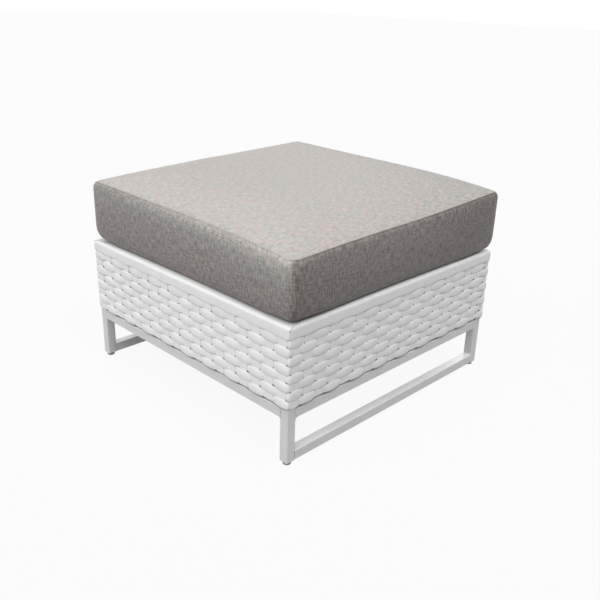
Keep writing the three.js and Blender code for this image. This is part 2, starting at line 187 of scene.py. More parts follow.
@dataclass
class Skin:
    """Points, faces and values per point, gathered from grids before they become one mesh."""

    points: list[Array] = field(default_factory=list)
    faces: list[Array] = field(default_factory=list)
    tones: list[Array] = field(default_factory=list)
    uvs: list[Array] = field(default_factory=list)
    count: int = 0

    def add(
        self, points: Array, faces: Array, tone: float | Array = 0.5, uv: Array | None = None
    ) -> None:
        """Adds points with their faces.

        Args:
            points: Any array of places whose last axis is x, y, z.
            faces: Point numbers, four to a face, within these points.
            tone: Shade of each point from 0 to 1.
            uv: Place of each point on the cloth, in metres.
        """
        flat = points.reshape(-1, 3)
        self.points.append(flat)
        self.faces.append(np.asarray(faces) + self.count)
        self.tones.append(np.broadcast_to(np.asarray(tone, float).ravel(), (len(flat),)))
        self.uvs.append(flat[:, :2] if uv is None else uv.reshape(-1, 2))
        self.count += len(flat)

    def tube(
        self, points: Array, flip: bool = False, tone: float | Array = 0.5, uv: Array | None = None
    ) -> None:
        """Adds a closed profile carried along a path, with both ends closed across the profile.

        Args:
            points: Sections along the path, each a ring of an even number of points whose
                second half runs back along the first.
            flip: Turns the faces over.
            tone: Shade of the whole tube, or of each point.
            uv: Place of each point on the strand, in metres.
        """
        faces = tube_faces(*points.shape[:2])
        self.add(points, faces[:, ::-1] if flip else faces, tone, uv)

    def tubes(self, points: Array, tone: float = 0.5) -> None:
        """Adds many short tubes of one make, whose rings are closed at both ends.

        Args:
            points: Tubes, sections, ring points, places.
            tone: Shade of all of them.
        """
        count, sections, ring = points.shape[:3]
        starts = np.arange(count)[:, None, None] * sections * ring
        self.add(points, (tube_faces(sections, ring)[None] + starts).reshape(-1, 4), tone)

    def piece(
        self, name: str, finish: Material, slot: Slot, body: str, solid: str = ""
    ) -> bpy.types.Object:
        """Puts the gathered surface into a mesh, and dresses and mounts it.

        Args:
            name: Name of the piece.
            finish: Its material.
            slot: The record's slot that the finish comes from; not used.
            body: The body that the piece rides on.
            solid: The node that it replaces, if any.

        Returns:
            The piece, at the origin.
        """
        points = np.concatenate(self.points)
        faces = np.concatenate(self.faces)
        mesh = bpy.data.meshes.new(name)
        mesh.vertices.add(len(points))
        mesh.vertices.foreach_set("co", points.astype(np.float32).ravel())
        mesh.loops.add(faces.size)
        mesh.loops.foreach_set("vertex_index", faces.astype(np.int32).ravel())
        mesh.polygons.add(len(faces))
        starts = np.arange(0, faces.size, faces.shape[1], dtype=np.int32)
        mesh.polygons.foreach_set("loop_start", starts)
        mesh.update(calc_edges=True)
        mesh.validate()
        tone = mesh.attributes.new("tone", "FLOAT", "POINT")
        tone.data.foreach_set("value", np.concatenate(self.tones).astype(np.float32))
        corner_point = np.empty(len(mesh.loops), np.int32)
        mesh.loops.foreach_get("vertex_index", corner_point)
        uv = mesh.uv_layers.new(name="cloth")
        places = np.concatenate(self.uvs)[corner_point].astype(np.float32)
        uv.uv.foreach_set("vector", places.ravel())
        mesh.shade_smooth()
        mesh.set_sharp_from_angle(angle=SHARP_EDGE)
        mesh.materials.append(finish)
        thing = placed(name, mesh)
        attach(thing, body)
        if solid:
            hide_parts(solid)
        log.info("%s: %d faces, rides on %s", name, len(mesh.polygons), body)
        return thing


def ribbon_ring(
    height: Array, depth: Array, share: Array, bow: float, thick: float, power: float = 3.0
) -> Array:
    """Sections of a flat strand: across it by share of its half height, and in depth.

    The outer face bows back by bow times a power of the share; the inner one by half that.

    Args:
        height: Full height of the strand at each section.
        depth: Middle of the strand, outwards, at each section.
        share: Places across the outer face, from -1 to 1.
        bow: How far the edges lie behind the middle.
        thick: Thickness in the middle.
        power: Power of the bow; the higher, the flatter the middle.

    Returns:
        Array of sections, ring points, and (across, outwards).
    """
    cube = np.abs(share) ** power
    across = np.concatenate([share, share[::-1]])
    outwards = np.concatenate([thick / 2 - bow * cube, -thick / 2 - bow * cube[::-1] / 2])
    return np.stack([height[:, None] * across / 2, depth[:, None] + outwards], -1)


def lathe(profile: Array, steps: int, x: float, y: float) -> tuple[Array, Array]:
    """A profile of radius and height turned round an upright axis.

    Each profile point goes round a circle: x + radius cos, y + radius sin. The profile is
    closed, so that last and first ring meet.

    Args:
        profile: Closed outline, radius and height.
        steps: Points round the circle.
        x: Place of the axis.
        y: Place of the axis.

    Returns:
        Points and faces.
    """
    turn = np.linspace(0, 2 * np.pi, steps, endpoint=False)
    radius, height = profile[:, 0], profile[:, 1]
    round_x, round_y = radius[:, None] * np.cos(turn), radius[:, None] * np.sin(turn)
    points = np.stack([x + round_x, y + round_y, np.repeat(height[:, None], steps, 1)], -1)
    return points, grid_faces(len(profile), steps, wrap_rows=True, wrap_columns=True)


def arc(
    centre: Pair, radius: float, start: float, end: float, steps: int
) -> Array:
    """Points on an arc, from start to end in degrees: centre + radius (cos, sin)."""
    angle = np.radians(np.linspace(start, end, steps))
    return np.stack([centre[0] + radius * np.cos(angle), centre[1] + radius * np.sin(angle)], -1)


def smooth(value: Array, low: float, high: float) -> Array:
    """Smooth rise from 0 at low to 1 at high: 3t^2 - 2t^3 of the clipped share t."""
    share = np.clip((value - low) / (high - low), 0, 1)
    return share * share * (3 - 2 * share)


def bell(way: Array, width: float) -> Array:
    """Bell curve of a distance: exp(-(way / width)^2)."""
    return np.exp(-((way / width) ** 2))


# Finishes


@dataclass
class Nodes:
    """A node tree with short ways to add and join nodes."""

    tree: bpy.types.NodeTree

    def add(self, kind: str, **settings: object) -> Node:
        """Adds a node.

        Args:
            kind: Blender's name of its kind.
            **settings: Properties to set on it.

        Returns:
            The node.
        """
        node = self.tree.nodes.new(kind)
        for name, value in settings.items():
            setattr(node, name, value)
        return node

    def join(self, source: Socket, target: Socket) -> None:
        """Links two sockets."""
        self.tree.links.new(source, target)

    def put(self, node: Node, values: dict[str, object]) -> None:
        """Sets numbers and colours on a node's own inputs."""
        for name, value in values.items():
            node.inputs[name].default_value = value

    def noise(
        self, place: Socket, scale: float, detail: float = 2.0, rough: float = 0.5
    ) -> Socket:
        """Noise at a place, as a value from 0 to 1.

        Args:
            place: Coordinates.
            scale: How fine it is.
            detail: Finer layers added.
            rough: Share of the finer layers.

        Returns:
            The value.
        """
        node = self.add("ShaderNodeTexNoise")
        self.put(node, {"Scale": scale, "Detail": detail, "Roughness": rough})
        self.join(place, node.inputs["Vector"])
        return node.outputs["Fac"]

    def stretched(
        self, place: Socket, scale: Triple
    ) -> Socket:
        """Coordinates with each axis scaled.

        Args:
            place: Coordinates.
            scale: Factor for each axis.

        Returns:
            Scaled coordinates.
        """
        node = self.add("ShaderNodeMapping")
        node.inputs["Scale"].default_value = scale
        self.join(place, node.inputs["Vector"])
        return node.outputs["Vector"]

    def math(self, what: str, a: object, b: object = 0.0) -> Socket:
        """One operation on two sockets or numbers.

        Args:
            what: Name of the operation.
            a: First socket or number.
            b: Second one.

        Returns:
            The result.
        """
        node = self.add("ShaderNodeMath", operation=what)
        self.feed(node.inputs[0], a)
        self.feed(node.inputs[1], b)
        return node.outputs[0]

    def feed(self, socket: Socket, value: object) -> None:
        """Gives a socket what it takes.

        Args:
            socket: The input.
            value: A socket to link, a colour without its alpha, or a number.
        """
        if isinstance(value, Socket):
            self.join(value, socket)
        elif isinstance(value, tuple):
            socket.default_value = (*value, 1.0)
        else:
            socket.default_value = value

    def ramp(
        self, value: Socket, stops: list[tuple[float, Colour]]
    ) -> Socket:
        """Colours along a value.

        Args:
            value: A value from 0 to 1.
            stops: Places along it, with their colours.

        Returns:
            The colour.
        """
        node = self.add("ShaderNodeValToRGB")
        band = node.color_ramp
        while len(band.elements) < len(stops):
            band.elements.new(1.0)
        for element, (place, colour) in zip(band.elements, stops):
            element.position = place
            element.color = (*colour, 1.0)
        self.join(value, node.inputs["Fac"])
        return node.outputs["Color"]

    def greys(self, value: Socket, *stops: Pair) -> Socket:
        """Greys along a value, given as places and levels."""
        return self.ramp(value, [(place, (level,) * 3) for place, level in stops])

    def span(self, value: Socket, low: float, high: float) -> Socket:
        """A value from 0 to 1 moved to another range.

        Args:
            value: The value.
            low: Result at 0.
            high: Result at 1.

        Returns:
            The moved value.
        """
        node = self.add("ShaderNodeMapRange")
        self.put(node, {"To Min": low, "To Max": high})
        self.join(value, node.inputs["Value"])
        return node.outputs["Result"]

    def blend(self, share: object, a: object, b: object, how: str = "MIX") -> Socket:
        """Two colours mixed.

        Args:
            share: How far the second one is mixed in, as a socket or a number.
            a: First colour, as a socket or three numbers.
            b: Second colour.
            how: Blender's name of the way to mix.

        Returns:
            The colour.
        """
        node = self.add("ShaderNodeMix", data_type="RGBA", blend_type=how)
        for index, value in ((0, share), (6, a), (7, b)):
            self.feed(node.inputs[index], value)
        return node.outputs[2]


def effect(
    name: str,
    inputs: dict[str, float],
    outputs: dict[str, str],
    build: Callable[[Nodes, Node, Node], None],
) -> bpy.types.NodeTree:
    """A shader node group, made once.

    Args:
        name: Name of the group.
        inputs: Number inputs with their starting values; a Vector input comes first.
        outputs: Names and socket kinds.
        build: Fills the group between its input and output nodes.

    Returns:
        The group.
    """
    group = bpy.data.node_groups.get(name)
    if group:
        return group
    group = bpy.data.node_groups.new(name, "ShaderNodeTree")
    face = group.interface
    face.new_socket("Vector", in_out="INPUT", socket_type="NodeSocketVector")
    for label, value in inputs.items():
        face.new_socket(label, in_out="INPUT", socket_type="NodeSocketFloat").default_value = value
    for label, kind in outputs.items():
        face.new_socket(label, in_out="OUTPUT", socket_type=kind)
    nodes = Nodes(group)
    build(nodes, nodes.add("NodeGroupInput"), nodes.add("NodeGroupOutput"))
    return group


def grain_effect() -> bpy.types.NodeTree:
    """Fine grain of moulded or coated surfaces: a height, and a mask of slow wear.

    Returns:
        The group.
    """

    def build(nodes: Nodes, given: Node, result: Node) -> None:
        """Height is fine noise; wear is slow noise sharpened to patches.

        Args:
            nodes: Nodes of the group.
            given: Its input node.
            result: Its output node.
        """
        place = nodes.add("ShaderNodeVectorMath", operation="SCALE")
        nodes.join(given.outputs["Vector"], place.inputs[0])
        nodes.join(given.outputs["Scale"], place.inputs["Scale"])
        fine = nodes.noise(place.outputs[0], 1.0, 3.0, 0.6)
        slow = nodes.noise(given.outputs["Vector"], 9.0, 4.0, 0.6)
        nodes.join(fine, result.inputs["Height"])
        nodes.join(nodes.span(slow, 0.0, 1.0), result.inputs["Wear"])

    outputs = {"Height": "NodeSocketFloat", "Wear": "NodeSocketFloat"}
    return effect("surface_grain", {"Scale": 900.0}, outputs, build)


def cloth_effect() -> bpy.types.NodeTree:
    """Woven cloth: threads both ways as a height, slubs and slow mottling as masks.

    Returns:
        The group.
    """

    def build(nodes: Nodes, given: Node, result: Node) -> None:
        """Threads are two crossed waves; slubs are noise drawn out along either thread.

        Args:
            nodes: Nodes of the group.
            given: Its input node.
            result: Its output node.
        """
        place = given.outputs["Vector"]
        long, short = 60.0, 340.0
        across = nodes.noise(nodes.stretched(place, (long, short, short)), 1.0)
        along = nodes.noise(nodes.stretched(place, (short, long, short)), 1.0)
        weft, warp = nodes.math("MULTIPLY", across, 0.42), nodes.math("MULTIPLY", along, 0.58)
        slub = nodes.math("ADD", weft, warp)
        parts = nodes.add("ShaderNodeSeparateXYZ")
        nodes.join(place, parts.inputs[0])
        threads = given.outputs["Threads"]
        turns = [nodes.math("MULTIPLY", parts.outputs[axis], threads) for axis in (0, 1)]
        crossed = nodes.math("MULTIPLY", *(nodes.math("SINE", turn) for turn in turns))
        height = nodes.math("ADD", nodes.math("MULTIPLY", crossed, 0.35), slub)
        nodes.join(height, result.inputs["Height"])
        nodes.join(slub, result.inputs["Slub"])
        nodes.join(nodes.noise(place, 75.0), result.inputs["Mottle"])
        nodes.join(nodes.noise(place, 40.0), result.inputs["Tint"])

    outputs = dict.fromkeys(("Height", "Slub", "Mottle", "Tint"), "NodeSocketFloat")
    return effect("woven_cloth", {"Threads": 5200.0}, outputs, build)


@dataclass(frozen=True)
class Finish:
    """A finish: what a maker would write down of a surface."""

    name: str
    colour: Colour
    roughness: float = 0.5
    metallic: float = 0.0
    bump: float = 0.1

    def start(self) -> tuple[Material, Nodes, Node]:
        """A material with its shader, and the finish's uniform values set on it.

        Returns:
            The material, its nodes and its shader.
        """
        material = bpy.data.materials.new(self.name)
        material.use_nodes = True
        nodes = Nodes(material.node_tree)
        shader = material.node_tree.nodes["Principled BSDF"]
        colour = (*self.colour, 1.0)
        values = {"Base Color": colour, "Roughness": self.roughness, "Metallic": self.metallic}
        nodes.put(shader, values)
        return material, nodes, shader

    def place(self, nodes: Nodes, which: str = "Object") -> Socket:
        """The surface's own coordinates."""
        return nodes.add("ShaderNodeTexCoord").outputs[which]

    def relief(
        self, nodes: Nodes, shader: Node, height: Socket, depth: float
    ) -> None:
        """Puts a bump on the shader.

        Args:
            nodes: Nodes of the material.
            shader: Its shader.
            height: Height of the bump, from 0 to 1.
            depth: What 1 means, in metres.
        """
        bump = nodes.add("ShaderNodeBump")
        nodes.put(bump, {"Strength": self.bump, "Distance": depth})
        nodes.join(height, bump.inputs["Height"])
        nodes.join(bump.outputs["Normal"], shader.inputs["Normal"])

    def shade(self, *stops: Pair) -> list[tuple[float, Colour]]:
        """Ramp stops of this colour, given as places and as factors on it."""
        return [(at, tuple(min(1.0, c * level) for c in self.colour)) for at, level in stops]


@dataclass(frozen=True)
class GrainFinish(Finish):
    """Coated, moulded or plated surface with fine grain and slow variation, and painted light on
    faces that look up.
    """

    scale: float = 900.0
    depth: float = 0.0003
    spread: float = 0.04
    sheen_swing: float = 0.08
    # Painted light on faces that look up: how far towards white, and the upward normal's z where it
    # starts and where it is full.
    painted_top_light: float = 0.0
    painted_top_light_from: float = 0.6
    painted_top_light_full: float = 0.95

    def build(self) -> Material:
        """Makes the material; faces that look up are painted paler, as painted light.

        Returns:
            The material.
        """
        material, nodes, shader = self.start()
        grain = nodes.add("ShaderNodeGroup", node_tree=grain_effect())
        nodes.put(grain, {"Scale": self.scale})
        nodes.join(self.place(nodes), grain.inputs["Vector"])
        shades = self.shade((0.25, 1 - self.spread), (0.75, 1 + self.spread))
        tint = nodes.ramp(grain.outputs["Wear"], shades)
        # Painted light: faces that look up are mixed towards white.
        if self.painted_top_light:
            facing = nodes.add("ShaderNodeSeparateXYZ")
            nodes.join(self.place(nodes, "Normal"), facing.inputs[0])
            rise = ((self.painted_top_light_from, 0.0), (self.painted_top_light_full, self.painted_top_light))
            top_light_mask = nodes.greys(facing.outputs[2], *rise)
            tint = nodes.blend(top_light_mask, tint, (1.0, 1.0, 1.0))
        nodes.join(tint, shader.inputs["Base Color"])
        low, high = self.roughness - self.sheen_swing, self.roughness + self.sheen_swing
        rough = nodes.span(grain.outputs["Wear"], low, high)
        nodes.join(rough, shader.inputs["Roughness"])
        self.relief(nodes, shader, grain.outputs["Height"], self.depth)
        return material


@dataclass(frozen=True)
class StrandFinish(Finish):
    """Flat resin strand: fine lines drawn along it, its own tone, and painted highlights and shade.
    """

    lines: float = 2400.0
    # Tone to brightness: the lowest stops paint shade in holes and crevices, the highest paints a
    # highlight.
    shades: tuple[Pair, ...] = (
        (0.0, 0.08), (0.14, 0.42), (0.45, 1.0), (0.75, 1.04), (1.0, 1.16)
    )
    line_depth: float = 0.0004

    def build(self) -> Material:
        """Makes the material, lighter or darker by the piece's tone, painted highlights and shade
        included.

        Returns:
            The material.
        """
        material, nodes, shader = self.start()
        own = nodes.add("ShaderNodeAttribute", attribute_name="tone")
        tone = nodes.ramp(own.outputs["Fac"], self.shade(*self.shades))
        place = self.place(nodes, "UV")
        lines = nodes.noise(nodes.stretched(place, (14.0, self.lines, 1.0)), 1.0)
        cloud = nodes.noise(self.place(nodes), 26.0, 3.0, 0.6)
        patches = nodes.greys(cloud, (0.3, 0.95), (0.7, 1.0))
        nodes.join(nodes.blend(1.0, tone, patches, "MULTIPLY"), shader.inputs["Base Color"])
        rough = nodes.span(cloud, self.roughness - 0.06, self.roughness + 0.1)
        nodes.join(rough, shader.inputs["Roughness"])
        self.relief(nodes, shader, lines, self.line_depth)
        return material


@dataclass(frozen=True)
class ClothFinish(Finish):
    """Woven outdoor cloth in heathered yarn."""

    # On the cushion cover these stops are the cloth's colour in painted shade, up to the finish's
    # own colour as the painted-lit top; they also shift the hue pinkish and greenish. Thread and
    # zip tape take the low stops as their own dark colour.
    bands: tuple[tuple[float, Colour], ...] = (
        (0.0, (0.127, 0.112, 0.107)),
        (0.14, (0.193, 0.169, 0.163)),
        (0.26, (0.238, 0.217, 0.208)),
        (0.40, (0.281, 0.273, 0.262)),
    )
    warm: Colour = (1.045, 0.975, 0.972)
    cool: Colour = (0.98, 1.0, 0.965)
    slub_range: Pair = (0.39, 0.61)
    slub_strong: Pair = (0.52, 1.48)
    slub_weak: Pair = (0.82, 1.18)
    sheen: float = 0.4
    sheen_rough: float = 0.45
    gloss: float = 0.2
    thread_depth: float = 0.0006

    def build(self) -> Material:
        """Makes the material, lighter or darker by the piece's tone, which on the cushion cover is
        painted light and shade.

        Returns:
            The material.
        """
        material, nodes, shader = self.start()
        cloth = nodes.add("ShaderNodeGroup", node_tree=cloth_effect())
        nodes.join(self.place(nodes, "UV"), cloth.inputs["Vector"])
        own = nodes.add("ShaderNodeAttribute", attribute_name="tone").outputs["Fac"]
        yarn = nodes.ramp(own, [*self.bands, (1.0, self.colour)])
        strong, weak = (
            nodes.greys(cloth.outputs["Slub"], *zip(self.slub_range, levels))
            for levels in (self.slub_strong, self.slub_weak)
        )
        slubs = nodes.blend(own, strong, weak)
        mottle = nodes.greys(cloth.outputs["Mottle"], (0.3, 0.95), (0.7, 1.0))
        tint = nodes.ramp(cloth.outputs["Tint"], [(0.42, self.cool), (0.58, self.warm)])
        dyed = nodes.blend(1.0, nodes.blend(1.0, yarn, slubs, "MULTIPLY"), mottle, "MULTIPLY")
        nodes.join(nodes.blend(1.0, dyed, tint, "MULTIPLY"), shader.inputs["Base Color"])
        nodes.put(shader, {"Sheen Weight": self.sheen, "Sheen Roughness": self.sheen_rough})
        nodes.put(shader, {"Specular IOR Level": self.gloss})
        self.relief(nodes, shader, cloth.outputs["Height"], self.thread_depth)
        return material


@dataclass
class Finishes:
    """Every finish of the footstool, built once."""

    made: dict[str, Material] = field(default_factory=dict)
    wanted: tuple[Finish, ...] = (
        # The powder coat's faces that look up get painted light.
        GrainFinish("powder_coat", (0.62, 0.62, 0.62), 0.42, 0.15, 0.25, scale=1100.0, painted_top_light=0.85),
        StrandFinish("white_resin_strand", (0.80, 0.80, 0.80), 0.42, 0.0, 0.18),
        StrandFinish("seat_strap_resin", (0.66, 0.655, 0.63), 0.5, 0.0, 0.3, lines=1500.0),
        GrainFinish("moulded_dark_plastic", (0.30, 0.30, 0.305), 0.5, 0.0, 0.3, scale=1500.0),
        GrainFinish("zinc_plating", (0.56, 0.57, 0.58), 0.32, 0.95, 0.12, scale=1800.0),
        # The cloth's own colour is its painted-lit top; its sides take painted shade from the
        # bands.
        ClothFinish("taupe_cloth", (0.54, 0.516, 0.50), 0.9, 0.0, 0.5, sheen=0.5),
        GrainFinish("foam", (0.85, 0.83, 0.74), 0.95, 0.0, 0.8, scale=700.0, depth=0.001),
        GrainFinish("zip_plastic", (0.20, 0.19, 0.18), 0.5, 0.0, 0.3, scale=1600.0),
        ClothFinish("sewing_thread", (0.42, 0.40, 0.385), 0.7, 0.0, 0.3),
        ClothFinish("zip_cloth", (0.42, 0.40, 0.385), 0.8, 0.0, 0.4),
    )

    def __getitem__(self, name: str) -> Material:
        """The material of that name."""
        if name not in self.made:
            self.made[name] = next(f for f in self.wanted if f.name == name).build()
        return self.made[name]


# Sled frame and glides


@dataclass
class SledFrame:
    """Welded tube frame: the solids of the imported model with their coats."""

    finishes: Finishes
    coats: tuple[tuple[str, str], ...] = (
        ("leg_insert_", "moulded_dark_plastic"),
        ("glide_stud_", "zinc_plating"),
        *((f"{part}_", "powder_coat") for part in (
            "leg", "lower_rail", "runner", "seat_rail", "seat_bar", "weave_rod"
        )),
    )

    def dress(self) -> None:
        """Gives each tube, rod, insert and stud its finish."""
        for name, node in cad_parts.items():
            finish = next((f for start, f in self.coats if name.startswith(start)), None)
            if finish:
                coat(node, self.finishes[finish])
                log.info("%s: %s", name, finish)


@dataclass
class Glides:
    """Round plastic feet under the legs."""

    finishes: Finishes
    place: float = 0.33275
    radius: float = 0.009
    height: float = 0.0077
    bevel: float = 0.0014
    hole: float = 0.00405
    floor: float = 0.003
    sink: float = 0.0004
    steps: int = 64

    def outline(self) -> Array:
        """Foot's outline with rounded edges, a slightly dished sole, and the stud's hole.

        Returns:
            Closed outline, radius and height.
        """
        edge = self.bevel
        side, rim = self.radius - edge, self.height - self.sink
        return np.concatenate([
            [(0.0002, 0.0004), (0.004, 0.0003), (side - 0.0012, 0.0)],
            arc((side, edge), edge, -90, 0, 5),
            arc((side, self.height - edge), edge, 0, 90, 5),
            [(0.0062, self.height), (0.0058, rim), (self.hole, rim)],
            [(self.hole, self.floor), (0.0002, self.floor)],
        ])

    def build(self) -> None:
        """One foot under each leg, each on its own body."""
        for depth_name, y in (("front", -self.place), ("back", self.place)):
            for side_name, x in (("left", -self.place), ("right", self.place)):
                name = f"glide_{depth_name}_{side_name}"
                skin = Skin()
                skin.add(*lathe(self.outline(), self.steps, x, y))
                finish = self.finishes["moulded_dark_plastic"]
                skin.piece(name + "_foot", finish, Slot.DARK_PLASTIC, name, name)


# Woven body


@dataclass(frozen=True)
class SquareLine:
    """Line round the square body. Lengths along it are taken a little outside the legs."""

    half: float = 0.344
    corner: float = 0.002
    measured_out: float = 0.0035
    least_radius: float = 0.0006

    @property
    def straight(self) -> float:
        """Half the straight stretch of a side."""
        return self.half - self.corner

    @property
    def quarter(self) -> float:
        """Length of the line round a whole corner."""
        return (self.corner + self.measured_out) * np.pi / 2

    @property
    def mitre(self) -> float:
        """Length along the line from the middle of a side to its corner."""
        return self.straight + self.quarter / 2

    def place(self, along: Array, out: Array, height: Array) -> Array:
        """Places on the front side and round both its corners.

        Straight up to the corner, then on a circle about the corner's centre by the angle
        that the length makes, and past the quarter turn straight again along the next side.

        Args:
            along: Length from the middle of the side, to the right.
            out: Distance outwards from the legs.
            height: Height above the floor.

        Returns:
            Places, with x, y, z on the last axis.
        """
        along, out, height = np.broadcast_arrays(along, out, height)
        radius = np.maximum(self.corner + out, self.least_radius)
        centre = self.half + out - radius
        size, sign = np.abs(along), np.sign(along)
        squeeze = centre / self.straight
        on_side = np.minimum(size, self.straight) * squeeze
        angle = np.clip((size - self.straight) / self.quarter, 0, 1) * np.pi / 2
        past = np.maximum(size - self.straight - self.quarter, 0) * squeeze
        x = sign * (on_side + radius * np.sin(angle))
        y = -centre - radius * np.cos(angle) + past
        return np.stack([x, y, height], -1)


@dataclass(frozen=True)
class Beat:
    """Where the stakes stand along one side, counted on from the front left corner."""

    first: float
    last: float
    shift: float = 0.0

    def at(self, along: Array, mitre: float) -> Array:
        """Stakes counted to a place: even between the corners, shifted most in the middle.

        Args:
            along: Length from the middle of the side.
            mitre: Length from there to its corner.

        Returns:
            Counts, which needn't be whole.
        """
        share = along / mitre
        moved = along - self.shift * (1 - share**4)
        return self.first + (self.last - self.first) * (moved / mitre + 1) / 2

    def stakes(self) -> Array:
        """Numbers of the stakes on this side; each stands half way through its count."""
        return np.arange(np.ceil(self.first - 0.5), np.ceil(self.last - 0.5)).astype(int)


@dataclass
class WovenBody:
    """Flat resin strands woven round upright stakes, with a wrapped rim over the top edge."""

    finishes: Finishes
    line: SquareLine = SquareLine()
    head: float = 0.2883
    row_pitch: float = 0.0192
    rows: int = 8
    strand_mean: float = 0.0190
    strand_swing: float = 0.0024
    strand_thick: float = 0.0015
    strand_bow: float = 0.0020
    strand_power: float = 2.2
    strand_pinch: float = 0.0017
    pinch_place: float = 0.63
    pinch_spread: float = 0.048
    low: float = 0.0012
    shoulder: float = 0.0018
    arch_power: float = 2.2
    high: float = 0.00475
    bulge_share: float = 0.68
    tuck_share: float = 0.90
    stake_width: float = 0.0246
    stake_thick: float = 0.0015
    stake_middle: float = 0.0023
    stake_swing: float = 0.0005
    stake_bow: float = 0.0003
    leg_edge: float = 0.3215
    leg_clear: float = 0.014
    stake_top: float = 0.2990
    stake_overrun: float = 0.03
    stake_samples: int = 1401
    path_steps: int = 110
    foot_clear: float = 0.0012
    tuck_rows: Pair = (-0.55, 0.0)
    calm_rows: Pair = (0.8, 0.35)
    curl_centre: Pair = (-0.003, 0.142)
    curl_size: Pair = (0.0058, 0.0066)
    curl_top: float = 0.166
    curl_gap: float = 0.003
    curl_steps: int = 15
    inner_steps: int = 5
    stakes_a_side: int = 18
    steps_per_stake: int = 22
    strand_share: Values = (
        -1, -0.93, -0.82, -0.62, -0.3, 0.3, 0.62, 0.82, 0.93, 1
    )
    stake_share: Values = (-1, -0.9, -0.72, 0, 0.72, 0.9, 1)
    wander: float = 0.00012
    wander_lengths: Triple = (0.31, 0.17, 0.093)
    strand_tones: Pair = (0.52, 0.66)
    stake_tones: Pair = (0.55, 0.72)
    # Painted highlight on the strands' upper edges over a stake; painted shade on their lower
    # edges, in the holes where they turn in, and at the stakes' corners beside them.
    highlight_across: Pair = (0.68, 1.0)
    highlight_along: Pair = (0.26, 0.46)
    edge_shade_across: Pair = (0.70, 1.0)
    foot_shade_across: Pair = (0.55, 0.95)
    hole_shade_across: Pair = (0.45, 0.95)
    corner_across: Pair = (0.66, 0.98)
    corner_place: float = 0.95
    corner_spread: float = 0.07
    painted_edge_shade: float = 0.34
    painted_foot_shade: float = 0.50
    painted_edge_highlight: float = 0.38
    hole_place: float = 0.675
    hole_spread: float = 0.050
    painted_hole_shade: float = 0.85
    # Painted shade on the stakes where they pass under a strand: place in a row, width and
    # strength.
    crevice_shades: tuple[Triple, ...] = (
        (0.105, 0.050, 0.10), (0.945, 0.030, 0.03)
    )
    rim_face: float = 0.0055
    rim_sweep: float = 0.012
    rim_sweep_power: float = 1.25
    rim_sweep_most: float = 0.030
    rim_gap: float = 0.0002
    rim_rest: float = 0.0003
    rim_wave: float = 0.0011
    rim_fade: float = 0.006
    rim_tip: float = 0.00022
    rim_tip_length: float = 0.010
    rim_top: float = 0.306
    rim_follow: Pair = (0.2905, 0.2990)
    rim_steps: int = 401
    rim_tone: float = 0.58
    rim_line: float = 0.45
    rim_line_rise: Pair = (0.3040, 0.3080)
    seed: int = 7
    beats: tuple[Beat, ...] = (
        Beat(0.0, 18.0, 0.0015),
        Beat(18.0, 35.55, -0.014),
        Beat(35.55, 54.0),
        Beat(54.0, 72.0),
    )

    def swing(self, count: Array, row: int) -> Array:
        """Stakes to the nearest one that a row passes over, from 0 to 1."""
        return np.abs((count + 0.5 + row) % 2 - 1)

    def strand_height(self, near: Array) -> Array:
        """Height of a strand: a cosine, greatest over a stake, less a pinch where it turns in."""
        pinch = self.strand_pinch * bell(near - self.pinch_place, self.pinch_spread)
        return self.strand_mean + self.strand_swing * np.cos(np.pi * near) - pinch

    def strand_depth(self, near: Array) -> Array:
        """Depth of a strand: an arch over a stake, then a smooth step in behind the next one.

        Args:
            near: Stakes to the nearest one that the row passes over.

        Returns:
            Distances outwards from the legs.
        """
        share = np.clip(near / self.bulge_share, 0, 1)
        arch = self.high - (self.high - self.shoulder) * share**self.arch_power
        tuck = smooth(near, self.bulge_share, self.tuck_share)
        return arch + (self.low - self.shoulder) * tuck

    def strand(self, skin: Skin, side: Side, row: int, chance: np.random.Generator) -> None:
        """Adds one row's strand from corner to corner of a side.

        It wanders up and down by the sum of three sines, which die out at the corners.

        Args:
            skin: Takes the strand.
            side: The side.
            row: Row of the strand, from the top.
            chance: Gives the sines their starts and the strand its tone.
        """
        steps = self.steps_per_stake * self.stakes_a_side + 1
        along = np.linspace(-self.line.mitre, self.line.mitre, steps)
        beat = self.beats[side]
        near = self.swing(beat.at(along, self.line.mitre), row)
        middle = self.head - (row + 0.5) * self.row_pitch
        share = np.array(self.strand_share)
        fade = 1 - (along / self.line.mitre) ** 8
        waves = [
            np.sin(along * 2 * np.pi / length + phase)
            for length, phase in zip(self.wander_lengths, chance.uniform(0, 2 * np.pi, 3))
        ]
        wander = self.wander * fade * sum(waves)
        size, depth = self.strand_height(near), self.strand_depth(near)
        flat = (self.strand_bow, self.strand_thick, self.strand_power)
        ring = ribbon_ring(size, depth, share, *flat)
        height = middle + wander[:, None] + ring[..., 0]
        points = self.line.place(along[:, None], ring[..., 1], height)
        uv = np.stack(np.broadcast_arrays(along[:, None] + row, ring[..., 0]), -1)
        # The strand's own random tone, plus painted highlights and shade.
        tone = self.strand_tone(near[:, None], np.concatenate([share, share[::-1]])[None], row)
        tone = np.clip(chance.uniform(*self.strand_tones) + tone, 0, 1)
        skin.tube(turned(points, side), True, tone, uv)

    def strand_tone(self, near: Array, share: Array, row: int) -> Array:
        """How much lighter or darker a strand is painted than its own tone.

        Its upper edge gets a painted highlight where it lies over a stake. Its lower edge gets
        painted shade, most in the bottom row, and so does the hole where it turns in behind the
        next stake.

        Args:
            near: Stakes to the nearest one that the row passes over.
            share: Places across the strand, from -1 at the lower edge to 1.
            row: Row of the strand, from the top.

        Returns:
            Differences of tone.
        """
